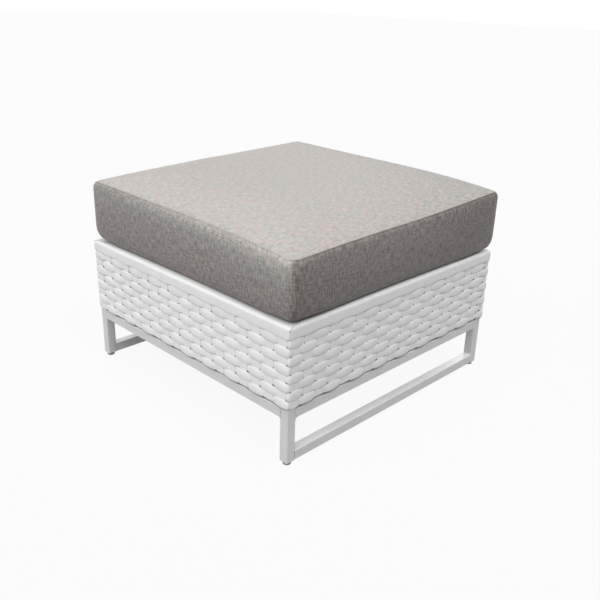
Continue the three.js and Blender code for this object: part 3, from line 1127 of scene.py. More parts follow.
        # Painted highlight on the upper edge over a stake; painted shade on the lower edge and in
        # the hole.
        over = 1 - smooth(near, *self.highlight_along)
        painted_highlight = self.painted_edge_highlight * smooth(share, *self.highlight_across) * over
        painted_shade = self.painted_edge_shade * smooth(-share, *self.edge_shade_across)
        if row == self.rows - 1:
            painted_shade = self.painted_foot_shade * smooth(-share, *self.foot_shade_across)
        spot = bell(near - self.hole_place, self.hole_spread)
        hole = self.painted_hole_shade * spot * smooth(-share, *self.hole_shade_across)
        return painted_highlight - painted_shade - hole

    def stake_path(self, over: float, curls: bool) -> Array:
        """Path of a stake's middle: outwards and height, from under the rim to its foot.

        It swings outwards where it shows and inwards behind a strand, by a sine of the rows
        counted down, and its foot curls round the rod on an ellipse.

        Args:
            over: 1 where the stake shows in the first row, -1 where it is hidden there.
            curls: Whether the foot goes round the rod.

        Returns:
            Points along the path.
        """
        weave_foot = self.head - self.rows * self.row_pitch + self.foot_clear
        foot = self.curl_centre[1] if curls else weave_foot
        height = np.linspace(self.stake_top, foot, self.path_steps)
        count = (self.head - height) / self.row_pitch
        shown = over * np.sin(np.pi * count)
        tucked = smooth(count, *self.tuck_rows)
        shown = np.where(count < 0, -1 + tucked, shown)
        calm = 1 - smooth(count, self.rows - self.calm_rows[0], self.rows - self.calm_rows[1])
        out = self.stake_middle + self.stake_swing * shown * calm
        path = np.stack([out, height], -1)
        if not curls:
            return path
        angle = np.radians(np.linspace(0, -180, self.curl_steps)[1:])
        way = np.stack([np.cos(angle), np.sin(angle)], -1)
        curl = np.array(self.curl_centre) + np.array(self.curl_size) * way
        inner = np.linspace(foot + self.curl_gap, self.curl_top, self.inner_steps)
        up = np.stack([np.full(len(inner), self.curl_centre[0] - self.curl_size[0]), inner], -1)
        return np.concatenate([path, curl, up])

    def stake(self, skin: Skin, side: Side, number: int, chance: np.random.Generator) -> None:
        """Adds one stake, with its width along the side and its thickness across its path.

        Args:
            skin: Takes the stake.
            side: The side.
            number: Number of the stake, counted round the body.
            chance: Gives the stake its tone.
        """
        reach = self.line.mitre + self.stake_overrun
        fine = np.linspace(-reach, reach, self.stake_samples)
        count = self.beats[side].at(fine, self.line.mitre)
        middle = float(np.interp(number + 0.5, count, fine))
        curls = abs(middle) < self.leg_edge - self.leg_clear
        path = self.stake_path(1.0 if number % 2 else -1.0, curls)
        step = np.gradient(path, axis=0)
        step /= np.linalg.norm(step, axis=1, keepdims=True)
        normal = np.stack([-step[:, 1], step[:, 0]], -1)
        share = np.array(self.stake_share)
        width = np.full(len(path), self.stake_width)
        ring = ribbon_ring(width, np.zeros(len(path)), share, self.stake_bow, self.stake_thick)
        out = path[:, None, 0] + ring[..., 1] * normal[:, None, 0]
        height = path[:, None, 1] + ring[..., 1] * normal[:, None, 1]
        along = middle + ring[..., 0]
        points = self.line.place(along, out, height)
        uv = np.stack(np.broadcast_arrays(height + number, along), -1)
        count = (self.head - path[:, 1]) / self.row_pitch
        # Painted shade in the crevices under the strands, and at the stake's corners beside the
        # holes.
        place, spread, strength = np.array(self.crevice_shades).T[..., None]
        dark = strength * bell(count[None] % 1 - place, spread)
        crevice_shade = dark.sum(0)[:, None]
        across = np.abs(np.concatenate([share, share[::-1]]))[None]
        spot = bell(count % 1 - self.corner_place, self.corner_spread)
        corner = smooth(across, *self.corner_across) * spot[:, None]
        tone = chance.uniform(*self.stake_tones) * (1 - crevice_shade) - self.painted_hole_shade * corner
        skin.tube(turned(points, side), False, np.clip(tone, 0, 1), uv)

    def rim_outline(self) -> tuple[Array, Array]:
        """Section of the rim strip: its lip, face, rounded edge, top, inner edge and underside.

        Returns:
            Points as outwards and height, and how much each follows the rows' wave.
        """
        lip = [(0.0036, 0.2908), (0.0039, 0.2892), (0.0046, 0.2887), (0.0052, 0.2891)]
        lip.append((self.rim_face, 0.2903))
        face = [(self.rim_face, 0.2955), (0.00545, 0.3015)]
        edge = arc((-0.0015, 0.3075), 0.007, 0, 90, 10)
        top = [(-0.006, 0.31455), (-0.012, 0.31455), (-0.0185, 0.31452), (-0.024, 0.3144)]
        inner = [(-0.0254, 0.3139), (-0.026, 0.3129), (-0.026, 0.3115), (-0.0254, 0.3108)]
        under = [(-0.020, 0.3107), (-0.010, 0.3107), (0.000, 0.3107), (0.0018, 0.3098)]
        under.append((0.0034, 0.3064))
        wall = [(0.0036, 0.3015), (0.0036, 0.2960)]
        outline = np.concatenate([lip, face, edge, top, inner, under, wall])
        return outline, 1 - smooth(outline[:, 1], *self.rim_follow)

    def rim(self, skin: Skin, side: Side) -> None:
        """Adds the rim strip of a side. Its end runs on round the corner in a curve on top.

        The curve's reach is a power of how far a point lies behind the face. The lip follows
        the first row by a cosine, and the top swells a little at its ends by exponentials.

        Args:
            skin: Takes the strip.
            side: The side.
        """
        outline, follow = self.rim_outline()
        share = np.linspace(-1, 1, self.rim_steps)
        behind = np.clip(self.rim_face - outline[:, 0], 0, None) / self.rim_face
        reach = np.minimum(self.rim_sweep * behind**self.rim_sweep_power, self.rim_sweep_most)
        start = -self.line.mitre + reach + self.rim_gap
        end = self.line.mitre + reach - self.rim_gap
        along = start + (end - start) * (share[:, None] + 1) / 2
        near = self.swing(self.beats[side].at(along[:, :1], self.line.mitre), 0)
        inside = np.clip((self.line.mitre - np.abs(along[:, :1])) / self.rim_fade, 0, 1)
        lift = self.rim_rest + self.rim_wave * np.cos(np.pi * near) * inside
        near_end = bell(end - along, self.rim_tip_length)
        near_start = bell(along - start, self.rim_tip_length)
        thick = self.rim_tip * (near_end - near_start) * (outline[:, 1] > self.rim_top)
        height = outline[:, 1] + follow * lift + thick
        points = self.line.place(along, outline[:, 0] + 0 * height, height)
        rows, ring = points.shape[:2]
        walls = grid_faces(rows, ring, wrap_columns=True)
        uv = np.stack([along, outline[:, 1] + 0 * along], -1)
        end_line = self.rim_line * (np.arange(rows) % (rows - 1) == 0)[:, None]
        tone = self.rim_tone - end_line * smooth(outline[:, 1], *self.rim_line_rise)
        skin.add(turned(points, side), walls[:, ::-1], tone, uv)

    def build(self) -> None:
        """The weave and the rim strip of each side."""
        dress = (self.finishes["white_resin_strand"], Slot.WEAVE, Body.FRAME.value)
        for side in Side:
            name = side.name.lower()
            chance = np.random.default_rng(self.seed + side)
            weave = Skin()
            for row in range(self.rows):
                self.strand(weave, side, row, chance)
            for number in self.beats[side].stakes():
                self.stake(weave, side, int(number), chance)
            weave.piece(f"weave_{name}", *dress, f"woven_panel_{name}")
            strip = Skin()
            self.rim(strip, side)
            strip.piece(f"rim_{name}", *dress, f"rim_strip_{name}")


# Seat straps


@dataclass
class SeatStraps:
    """Flat straps woven over and under each other across the seat."""

    finishes: Finishes
    number: int = 6
    pitch: float = 0.104
    width: float = 0.050
    thick: float = 0.0015
    low: float = 0.3088
    lift: float = 0.0018
    end: float = 0.3415
    clear: float = 0.001
    cup: float = 0.0002
    share: Values = (-1, -0.97, -0.6, 0, 0.6, 0.97, 1)
    steps: int = 241
    tones: Pair = (0.3, 0.7)
    seed: int = 11

    def height(self, along: Array, rises_first: bool) -> Array:
        """Underside of a strap: low on the rails, and up over every other crossing.

        Args:
            along: Length from the middle.
            rises_first: Whether it passes over the first crossing.

        Returns:
            Height above the floor.
        """
        middles = (np.arange(self.number) - (self.number - 1) / 2) * self.pitch
        rises = (np.arange(self.number) % 2 == 0) == rises_first
        rise = np.zeros_like(along)
        flat = self.width / 2 + self.clear
        for middle in middles[rises]:
            rise = np.maximum(rise, 1 - smooth(np.abs(along - middle), flat, self.pitch - flat))
        return self.low + self.lift * rise

    def strap(self, place: float, rises_first: bool, chance: np.random.Generator) -> Skin:
        """One strap along X: a flat ribbon with soft edges and a slight cup.

        Args:
            place: Its place across the seat.
            rises_first: Whether it passes over the first crossing.
            chance: Gives the strap its tone.

        Returns:
            The strap.
        """
        along = np.linspace(-self.end, self.end, self.steps)
        full = np.full(len(along), self.width)
        middle = self.height(along, rises_first) + self.thick / 2
        ring = ribbon_ring(full, middle, np.array(self.share), self.cup, self.thick)
        places = [along[:, None] + 0 * ring[..., 0], place + ring[..., 0], ring[..., 1]]
        points = np.stack(places, -1)
        uv = np.stack([points[..., 0] + place, ring[..., 0]], -1)
        skin = Skin()
        skin.tube(points, True, chance.uniform(*self.tones), uv)
        return skin

    def build(self) -> None:
        """Both layers."""
        chance = np.random.default_rng(self.seed)
        finish = self.finishes["seat_strap_resin"]
        for index in range(self.number):
            place = (index - (self.number - 1) / 2) * self.pitch
            even = index % 2 == 0
            across = self.strap(place, even, chance)
            along = self.strap(-place, not even, chance)
            along.points = [turned(p, 1) for p in along.points]
            for way, skin in (("across", across), ("along", along)):
                name = f"strap_{way}_{index + 1}"
                skin.piece(name, finish, Slot.STRAP, Body.FRAME.value, f"seat_{name}")


# Cushion


@dataclass(frozen=True)
class BoxCloth:
    """Numbering of a closed box of cloth: a top and a base panel joined by a boxing.

    The boxing is rows of 4n points each, from the base seam to the top seam, starting at the
    front left corner and running to the right. Panels share their border with its end rows.
    """

    cells: int
    rows: int

    @property
    def around(self) -> int:
        """Points round the box."""
        return 4 * self.cells

    def border(self) -> tuple[Array, Array]:
        """Border points of a panel, in their order round the box.

        Returns:
            Their rows and their columns in the panel.
        """
        n = self.cells
        step = np.arange(n)
        zero, full = np.zeros(n, int), np.full(n, n)
        rows = np.concatenate([zero, step, full, n - step])
        columns = np.concatenate([step, full, n - step, zero])
        return rows, columns

    def panel(self, start: int, ring_start: int) -> Array:
        """Point numbers of a panel, whose border lies on a ring of the boxing.

        Args:
            start: Number of the first point inside it.
            ring_start: Number of the first point of the ring.

        Returns:
            Numbers, rows by columns.
        """
        n = self.cells
        numbers = np.empty((n + 1, n + 1), int)
        numbers[1:-1, 1:-1] = start + np.arange((n - 1) ** 2).reshape(n - 1, n - 1)
        rows, columns = self.border()
        numbers[rows, columns] = ring_start + np.arange(self.around)
        return numbers


def panel_faces(numbers: Array) -> Array:
    """Faces of a panel from its point numbers."""
    return np.stack(
        [numbers[:-1, :-1], numbers[:-1, 1:], numbers[1:, 1:], numbers[1:, :-1]], -1
    ).reshape(-1, 4)


def cubic(grid: Array, rows: Array, columns: Array, wrap: bool) -> Array:
    """Points between the points of a grid, by the cubic through four neighbours each way.

    Args:
        grid: Points, rows by columns.
        rows: Places down the grid, in rows; whole numbers hit the grid's own points.
        columns: Places along the rows.
        wrap: Whether a row closes on itself.

    Returns:
        Points of the common shape of rows and columns.
    """
    rows, columns = np.broadcast_arrays(rows, columns)

    def taps(place: Array, size: int, closed: bool) -> tuple[Array, Array]:
        """The four neighbours of a place and their shares.

        Args:
            place: Place along the grid.
            size: Points of the grid that way.
            closed: Whether it closes on itself.

        Returns:
            Numbers of the neighbours, and their shares.
        """
        cell = np.floor(place).astype(int)
        if not closed:
            cell = np.clip(cell, 0, size - 2)
        t = place - cell
        near = cell[..., None] + np.arange(-1, 3)
        near = near % size if closed else np.clip(near, 0, size - 1)
        before, own = -0.5 * t + t**2 - 0.5 * t**3, 1 - 2.5 * t**2 + 1.5 * t**3
        after, last = 0.5 * t + 2 * t**2 - 1.5 * t**3, -0.5 * t**2 + 0.5 * t**3
        return near, np.stack([before, own, after, last], -1)

    row_near, row_share = taps(rows, grid.shape[0], False)
    column_near, column_share = taps(columns, grid.shape[1], wrap)
    result = np.zeros((*rows.shape, 3))
    for a in range(4):
        for b in range(4):
            share = row_share[..., a] * column_share[..., b]
            result += share[..., None] * grid[row_near[..., a], column_near[..., b]]
    return result


def unit(arrows: Array) -> Array:
    """Arrows brought to length 1."""
    return arrows / np.maximum(np.linalg.norm(arrows, axis=-1, keepdims=True), 1e-12)


@dataclass(frozen=True)
class CushionSide:
    """One side of the cushion: the top seam's height along it, and how it rolls in there."""

    start: float
    middle: float
    end: float
    power: float
    roll: float
    inset: float
    crown_power: float


@dataclass(frozen=True)
class Square:
    """Where points of the unit square lie: their ring, their side, and their share along it.

    The ring is the larger of |p| and |q|; the share is the other one over it, counted from
    the left end of the side as seen from outside.
    """

    ring: Array
    side: Array
    share: Array

    @classmethod
    def of(cls, p: Array, q: Array) -> "Square":
        """Sorts points of the unit square by the side that they lie towards.

        Args:
            p: Place to the right, from -1 to 1.
            q: Place to the back, from -1 to 1.

        Returns:
            Where the points lie.
        """
        ring = np.maximum(np.maximum(np.abs(p), np.abs(q)), 1e-9)
        front, right, back = -q >= np.abs(p), p >= np.abs(q), q >= np.abs(p)
        side = np.select([front, right, back], [0, 1, 2], 3)
        share = np.select([front, right, back], [p, q, -p], -q) / ring
        return cls(ring, side, share)

    def cornered(self, values: Values) -> Array:
        """A value per corner, passing over to the next one's along the middle of each side.

        Args:
            values: Values of the corners, from the front left on.

        Returns:
            The value at each point.
        """
        table = np.array(values)
        start, end = table[self.side], table[(self.side + 1) % 4]
        return start + (end - start) * smooth(self.share, -0.6, 0.6)

    def mixed(self, values: Sequence[float], start: float = 0.72) -> Array:
        """A value per side, passing half way over to the neighbour's near a corner.

        Args:
            values: Values of the sides, from the front on.
            start: Share along the side from which it passes over.

        Returns:
            The value at each point.
        """
        table = np.array(values)
        own = table[self.side]
        near = table[(self.side + np.where(self.share < 0, -1, 1)) % 4]
        return own + (near - own) / 2 * smooth(np.abs(self.share), start, 1.0)


@dataclass(frozen=True)
class Wear:
    """Painted light and shade of the cloth: lighter at the top, darker down the sides, near the
    base and along the seams. Four values are for the sides, front first.
    """

    turn: float = 0.94
    reach: Values = (0.022, 0.008, 0.010, 0.014)
    reach_corner: float = 0.012
    reach_front: float = 0.010
    over: Values = (0.33, 0.05, 0.20, 0.25)
    over_front: float = 0.20
    over_corner: float = 0.06
    over_power: float = 1.4
    floor: Values = (0.152, 0.048, 0.06, 0.06)
    floor_front: float = 0.15
    floor_right: float = 0.035
    right_rise: Pair = (-0.3, 1.0)
    rise: float = 0.24
    rise_right: float = 0.65
    foot: float = 0.10
    foot_height: Pair = (0.0, 0.22)
    foot_front: float = 0.03
    foot_front_height: Pair = (0.1, 0.4)
    seam: Values = (0.13, 0.17, 0.15, 0.12)
    seam_width: float = 0.0016
    streak: float = 0.038
    streaks: Values = (1.0, 0.8, 0.7, 0.8)
    streak_fade: float = 0.016
    top_edge: Values = (0.16, 0.08, 0.2, 0.2)
    top_edge_fade: float = 0.008
    top_far_shade: float = 0.17
    top_far_shade_from: Pair = (0.15, 0.95)


@dataclass(frozen=True)
class Sewing:
    """How the seams draw the cloth. Four values are for the sides, front first."""

    slant: Values = (0.9, 0.05, 0.3, 0.5)
    gather: Values = (0.0010, 0.0008, 0.0007, 0.0007)
    gather_right: float = 0.35
    fade: Values = (0.017, 0.010, 0.011, 0.014)
    start: float = 0.003
    pinch: Values = (0.0009, 0.0022, 0.0016, 0.0013)
    pinch_width: float = 0.0026
    groove: float = -0.0004
    groove_width: float = 0.0013
    base_pinch: float = -0.0008
    base_width: float = 0.0018
    top_gather: float = 0.0003
    top_fade: float = 0.012
    top_pinch: float = -0.0008
    top_width: float = 0.0022
    hollow: float = 0.0005
    hollow_power: int = 6
    rounded: float = 0.8
    rounded_reach: float = 0.030
    wave_lengths: Values = (0.0082, 0.0097, 0.0119, 0.0151, 0.023)
    seed: int = 5


@dataclass
class Cushion:
    """Loose box cushion: cover sewn from a top, a base and a boxing, over a foam fill."""

    finishes: Finishes
    # Painted light and shade of the cover's cloth.
    wear: Wear = Wear()
    sewing: Sewing = Sewing()
    base: float = 0.3148
    base_clear: float = 0.0004
    half: float = 0.3470
    shift: Pair = (0.003, 0.003)
    corner_low: float = 0.012
    corner_swell: float = 0.004
    corner_top: Values = (0.011, 0.024, 0.010, 0.011)
    draw_in: float = 0.007
    level_rise: float = 0.140
    level_share: float = 0.55
    base_roll: Pair = (0.014, 0.034)
    base_inset: Pair = (0.009, 0.019)
    crown: float = 0.480
    sides: tuple[CushionSide, ...] = (
        CushionSide(0.4615, 0.4550, 0.4435, 1.6, 0.020, 0.007, 3.5),
        CushionSide(0.4435, 0.4475, 0.4630, 1.6, 0.014, 0.005, 3.5),
        CushionSide(0.4630, 0.4785, 0.4785, 2.4, 0.016, 0.005, 8.0),
        CushionSide(0.4785, 0.4745, 0.4615, 1.3, 0.014, 0.005, 8.0),
    )
    cells: int = 100
    boxing_rows: int = 20
    pressure: float = 4.0
    frames: int = 20
    ease: float = -0.004
    wall_cap: float = 0.004
    top_cap: float = 0.009
    give: float = 0.0008
    top_calm: float = 0.88
    wall_calm: float = 0.75
    calm_rounds: int = 12
    fine_cells: int = 256
    zip_height: float = 0.3788
    zip_half: float = 0.222
    zip_face: float = 0.3385
    zip_behind: float = 0.30
    zip_near: Pair = (0.012, 0.034)
    zip_fade: float = 0.05
    slot_half: float = 0.003
    slot_deep: float = 0.003
    stitch_depth: float = 0.0030
    stitch_pitch: float = 0.0058
    stitch_length: float = 0.0040
    stitch_radius: float = 0.00042
    stitch_steps: int = 7
    cover_fill: float = 0.85
    foam_cells: tuple[int, int] = (28, 8)
    foam_middle: float = 0.066
    foam_share: Triple = (0.955, 0.955, 0.86)

    def plan(
        self, place: Square, half: Array, corner: Array
    ) -> tuple[Array, Array]:
        """Places points of the unit square on a round-cornered square with drawn-in sides.

        The share becomes a length along the straight stretch and on round half a corner, and
        the side is drawn in by draw_in (1 - share^2).

        Args:
            place: Points of the unit square.
            half: Half width of the outermost ring.
            corner: Corner radius of the outermost ring.

        Returns:
            Arrays of x and y.
        """
        ring, share = place.ring, place.share
        radius = corner * ring
        straight = half * ring - radius
        length = np.abs(share) * (straight + radius * np.pi / 4)
        angle = np.clip((length - straight) / radius, 0, np.pi / 4)
        x = np.sign(share) * (np.minimum(length, straight) + radius * np.sin(angle))
        y = -straight - radius * np.cos(angle) + self.draw_in * ring**3 * (1 - share**2)
        cosine = np.array([1.0, 0.0, -1.0, 0.0])[place.side]
        sine = np.array([0.0, 1.0, 0.0, -1.0])[place.side]
        return x * cosine - y * sine + self.shift[0], x * sine + y * cosine + self.shift[1]

    def seam_height(self, place: Square) -> Array:
        """Height of the top seam: off the middle's by a power of the share along the side.

        Args:
            place: Points of the seam.

        Returns:
            Heights above the floor.
        """
        start, middle, end, power = np.array(
            [(s.start, s.middle, s.end, s.power) for s in self.sides]
        ).T[:, place.side]
        reach = np.where(place.share < 0, start, end) - middle
        return middle + reach * np.abs(place.share) ** power

    def wall(self, place: Square, share: Array) -> Array:
        """Section of the boxing round the box.

        It curls in at both seams by a quarter circle's rise and stands straight between. Up to
        level_share its rows are level; above it they follow the seam.

        Args:
            place: Points of the square's border.
            share: Height as a share, from the base seam to the top seam.

        Returns:
            Points.
        """
        seam = self.seam_height(place)
        rise = share * self.level_rise
        excess = seam - self.base - self.level_rise
        height = rise + excess * smooth(share, self.level_share, 1.0)
        corner_share = smooth(np.abs(place.share), 0.7, 1.0)
        base_roll = self.base_roll[0] + (self.base_roll[1] - self.base_roll[0]) * corner_share
        base_inset = self.base_inset[0] + (self.base_inset[1] - self.base_inset[0]) * corner_share
        low = 1 - np.sqrt(1 - (1 - np.clip(height / base_roll, 0, 1)) ** 2)
        roll = place.mixed([s.roll for s in self.sides])
        inset = place.mixed([s.inset for s in self.sides])
        turn = np.clip(1 - (seam - self.base - height) / roll, 0, 1)
        top = (1 - np.sqrt(1 - 0.9 * turn**2)) / (1 - np.sqrt(0.1))
        inwards = base_inset * low + inset * top
        corner_top = place.cornered(self.corner_top)
        corner = self.corner_low + (corner_top - self.corner_low) * share**2
        corner = corner + self.corner_swell * low
        x, y = self.plan(place, self.half - inwards, corner)
        return np.stack([x, y, self.base + self.base_clear + height], -1)

    def start_shape(self, cloth: BoxCloth) -> tuple[Array, Array]:
        """The cut and sewn cover before it is filled.

        The top rises from the seam to the crown by 1 less a power of the ring.

        Args:
            cloth: Numbering of the cover.

        Returns:
            Points and faces.
        """
        n = cloth.cells
        p, q = unit_grid(n)
        rows, columns = cloth.border()
        edge = Square.of(p[rows, columns][None], q[rows, columns][None])
        boxing = self.wall(edge, np.linspace(0, 1, cloth.rows + 1)[:, None])
        place = Square.of(p, q)
        inset = place.mixed([s.inset for s in self.sides])
        x, y = self.plan(place, self.half - inset, place.cornered(self.corner_top))
        seam = self.seam_height(place)
        lift = 1 - place.ring ** place.mixed([s.crown_power for s in self.sides])
        top = np.stack([x, y, seam + (self.crown - seam) * lift], -1)
        corner = self.corner_low + self.corner_swell
        x, y = self.plan(place, self.half - self.base_inset[1], corner)
        base = np.stack([x, y, np.full_like(x, self.base + self.base_clear)], -1)
        around = cloth.around
        inner = slice(1, -1)
        parts = [boxing, top[inner, inner], base[inner, inner]]
        points = np.concatenate([part.reshape(-1, 3) for part in parts])
        top_start = (cloth.rows + 1) * around
        base_start = top_start + (n - 1) ** 2
        faces = np.concatenate([
            grid_faces(cloth.rows + 1, around, wrap_columns=True),
            panel_faces(cloth.panel(top_start, cloth.rows * around)),
            panel_faces(cloth.panel(base_start, 0))[:, ::-1],
        ])
        return points, faces

    def inflate(self, cloth: BoxCloth, points: Array, faces: Array) -> Array:
        """Fills the cover by a cloth simulation under pressure.

        Both seams and the base are held. The foam carries the cloth, so a wall gives inwards
        and the top downwards by little; any way is capped by cap tanh(way / cap).

        Args:
            cloth: Numbering of the cover.
            points: The sewn cover.
            faces: Its faces.

        Returns:
            The filled cover's points.
        """
        mesh = bpy.data.meshes.new("cover_cloth")
        mesh.from_pydata(points.tolist(), [], faces.tolist())
        thing = placed("cover_cloth", mesh)
        held = thing.vertex_groups.new(name="held")
        around = cloth.around
        wall_end = (cloth.rows + 1) * around
        top_end = wall_end + (cloth.cells - 1) ** 2
        spans = ((0, around), (cloth.rows * around, wall_end), (top_end, len(points)))
        resting = np.concatenate([np.arange(*span) for span in spans])
        held.add(resting.tolist(), 1.0, "REPLACE")
        filling = thing.modifiers.new("fill", "CLOTH")
        settings = {
            "quality": 5,
            "mass": 0.3,
            "tension_stiffness": 15,
            "compression_stiffness": 15,
            "shear_stiffness": 5,
            "bending_stiffness": 0.4,
            "use_pressure": True,
            "uniform_pressure_force": self.pressure,
            "vertex_group_mass": "held",
            "shrink_min": self.ease,
        }
        for name, value in settings.items():
            setattr(filling.settings, name, value)
        filling.settings.effector_weights.gravity = 0
        filling.point_cache.frame_start = 1
        filling.point_cache.frame_end = self.frames
        scene = bpy.context.scene
        for number in range(1, self.frames + 1):
            scene.frame_set(number)
        filled = thing.evaluated_get(bpy.context.evaluated_depsgraph_get()).data
        result = np.empty(len(points) * 3)
        filled.vertices.foreach_get("co", result)
        bpy.data.objects.remove(thing)
        bpy.data.meshes.remove(mesh)
        scene.frame_set(1)
        way = result.reshape(-1, 3) - points
        largest = np.linalg.norm(way, axis=1).max() / MM
        log.info("cover filled: largest way %.1f mm before the cap", largest)
        ring = points[:wall_end].reshape(-1, around, 3)
        along = np.roll(ring, -1, 1) - np.roll(ring, 1, 1)
        outward = np.stack([along[..., 1], -along[..., 0], 0 * along[..., 0]], -1)
        outward = unit(outward).reshape(-1, 3)
        part = (way[:wall_end] * outward).sum(-1, keepdims=True)
        way[:wall_end] += outward * (np.maximum(part, -self.give) - part)
        way[wall_end:, 2] = np.maximum(way[wall_end:, 2], -self.give)
        top_numbers = cloth.panel(wall_end, cloth.rows * around)
        way[top_numbers] = self.calmed(way[top_numbers], self.top_calm, False)
        wall_way = way[:wall_end].reshape(ring.shape)
        way[:wall_end] = self.calmed(wall_way, self.wall_calm, True).reshape(-1, 3)
        length = np.maximum(np.linalg.norm(way, axis=1, keepdims=True), 1e-9)
        cap = np.where(np.arange(len(points)) < wall_end, self.wall_cap, self.top_cap)[:, None]
        return points + way / length * cap * np.tanh(length / cap)

    def calmed(self, way: Array, share: float, wrap: bool) -> Array:
        """Moves over a grid with their creases softened.

        Part of each move is replaced by the mean of its neighbourhood, which is taken by
        averaging with both neighbours along the rows and down the columns again and again.

        Args:
            way: Moves, rows by columns.
            share: Part that the mean takes.
            wrap: Whether a row closes on itself.

        Returns:
            Softened moves.
        """
        mean = way.copy()
        for _ in range(self.calm_rounds):
            inner = (mean[:-2] + 2 * mean[1:-1] + mean[2:]) / 4
            mean[1:-1] = inner
            if wrap:
                mean = (np.roll(mean, 1, 1) + 2 * mean + np.roll(mean, -1, 1)) / 4
            else:
                mean[:, 1:-1] = (mean[:, :-2] + 2 * mean[:, 1:-1] + mean[:, 2:]) / 4
        return way + (mean - way) * share

    def build(self) -> None:
        """Cover, fill and stitching."""
        cloth = BoxCloth(self.cells, self.boxing_rows)
        points, faces = self.start_shape(cloth)
        points = self.inflate(cloth, points, faces)
        around, n = cloth.around, cloth.cells
        boxing = points[: (cloth.rows + 1) * around].reshape(cloth.rows + 1, around, 3)
        top_numbers = cloth.panel((cloth.rows + 1) * around, cloth.rows * around)
        base_numbers = cloth.panel((cloth.rows + 1) * around + (n - 1) ** 2, 0)
        wall = self.cover(boxing, points[top_numbers], points[base_numbers])
        self.stitches(wall)
        self.fill()

    def rows(self) -> Array:
        """Rows of the fine boxing, close together at the seams and at the zip's slot.

        Returns:
            Heights of the rows as shares of the level rise.
        """
        low = np.array([0, 0.0012, 0.003, 0.005, 0.0075, 0.0105, 0.014, 0.019, 0.026, 0.035, 0.046])
        zip_row = self.zip_height - self.base
        steps = np.array([-2.6, -1.8, -1.15, -0.95, 0.95, 1.15, 1.8, 2.6])
        slot = zip_row + self.slot_half * steps
        below_seam = np.array([
            0.056, 0.047, 0.039, 0.032, 0.0265, 0.022, 0.018, 0.0148, 0.0122,
            0.0101, 0.0083, 0.0068, 0.0052, 0.0037, 0.0024, 0.0012, 0,
        ])
        return np.concatenate([low, slot, self.level_rise - below_seam]) / self.level_rise

    def cover(self, boxing: Array, top: Array, base: Array) -> Array:
        """The sewn cover, finely divided, with its seams, puckers and zip slot.

        Args:
            boxing: Filled boxing, rows by points round the box.
            top: Filled top panel.
            base: Base panel.

        Returns:
            The fine boxing's points.
        """
        fine = BoxCloth(self.fine_cells, 0)
        n, around = fine.cells, fine.around
        ring_place = np.arange(around) * self.cells / n
        rows = self.rows()
        wall = cubic(boxing, rows[:, None] * (len(boxing) - 1), ring_place[None], True)
        wall = self.sewn_wall(wall, rows)
        step = np.arange(n + 1) * self.cells / n
        top_fine = cubic(top, step[:, None], step[None], False)
        border_rows, border_columns = fine.border()
        top_fine[border_rows, border_columns] = wall[-1]
        top_fine = self.sewn_top(top_fine)
        top_fine[border_rows, border_columns] = wall[-1]
        ring = np.array([0.985, 0.96, 0.92, 0.86, 0.78, 0.66, 0.5, 0.34, 0.18, 0.06])[:, None]
        middle = self.cells / 2
        base_fine = cubic(
            base,
            middle + (border_rows * self.cells / n - middle) * ring,
            middle + (border_columns * self.cells / n - middle) * ring,
            False,
        )
        base_fine[..., 2] = np.maximum(base_fine[..., 2], self.base)
        wall[..., 2] = np.maximum(wall[..., 2], self.base)
        wall_uv = np.stack(np.broadcast_arrays(lengths(wall[-1])[None], wall[..., 2]), -1)
        inner_top = top_fine[1:-1, 1:-1].reshape(-1, 3)
        top_start = len(wall) * around
        base_start = top_start + len(inner_top)
        numbers = fine.panel(top_start, (len(wall) - 1) * around)
        inside = base_start + np.arange(len(ring) * around).reshape(len(ring), around)
        base_ring = np.concatenate([np.arange(around)[None], inside])
        outer, inner = base_ring[:-1], base_ring[1:]
        base_faces = np.stack([outer, inner, np.roll(inner, -1, 1), np.roll(outer, -1, 1)], -1)
        pairs = base_ring[-1].reshape(-1, 2)
        hub = np.full(len(pairs), base_start + len(ring) * around)
        fan = np.stack([pairs[:, 0], hub, np.roll(pairs[:, 0], -1), pairs[:, 1]], -1)
        parts = [wall, inner_top, base_fine, base_fine[-1].mean(0, keepdims=True)]
        points = np.concatenate([part.reshape(-1, 3) for part in parts])
        wall_faces = grid_faces(len(wall), around, wrap_columns=True)
        faces = np.concatenate([wall_faces, panel_faces(numbers), base_faces.reshape(-1, 4), fan])
        uv = np.concatenate([wall_uv.reshape(-1, 2), points[top_start:, :2]])
        # The base panel takes tone 0, the cloth's colour in its darkest painted shade; the boxing
        # and top take painted light and shade.
        base_tone = np.zeros(base_fine.size // 3 + 1)
        tones = [self.wall_tone(wall), self.top_tone(n)[1:-1, 1:-1], base_tone]
        tone = np.concatenate([part.ravel() for part in tones])
        skin = Skin()
        skin.add(points, faces, tone, uv)
        dress = (self.finishes["taupe_cloth"], Slot.FABRIC, Body.CUSHION.value)
        cover = skin.piece("cushion_cover_sewn", *dress, "cushion_cover")
        return wall

    def wall_tone(self, wall: Array) -> Array:
        """Painted light and shade of the boxing: lightest at the top seam, darker down the side.

        The top's painted light runs over each seam by an exponential of the depth below it,
        and the last stretch above the base gets painted shade, as does a thin line along the seam.
        The right side gets darker towards the back. Painted streaks of light and shade follow the
        puckers.

        Args:
            wall: The fine boxing's points.

        Returns:
            Tone of each point, from 0 to 1.
        """
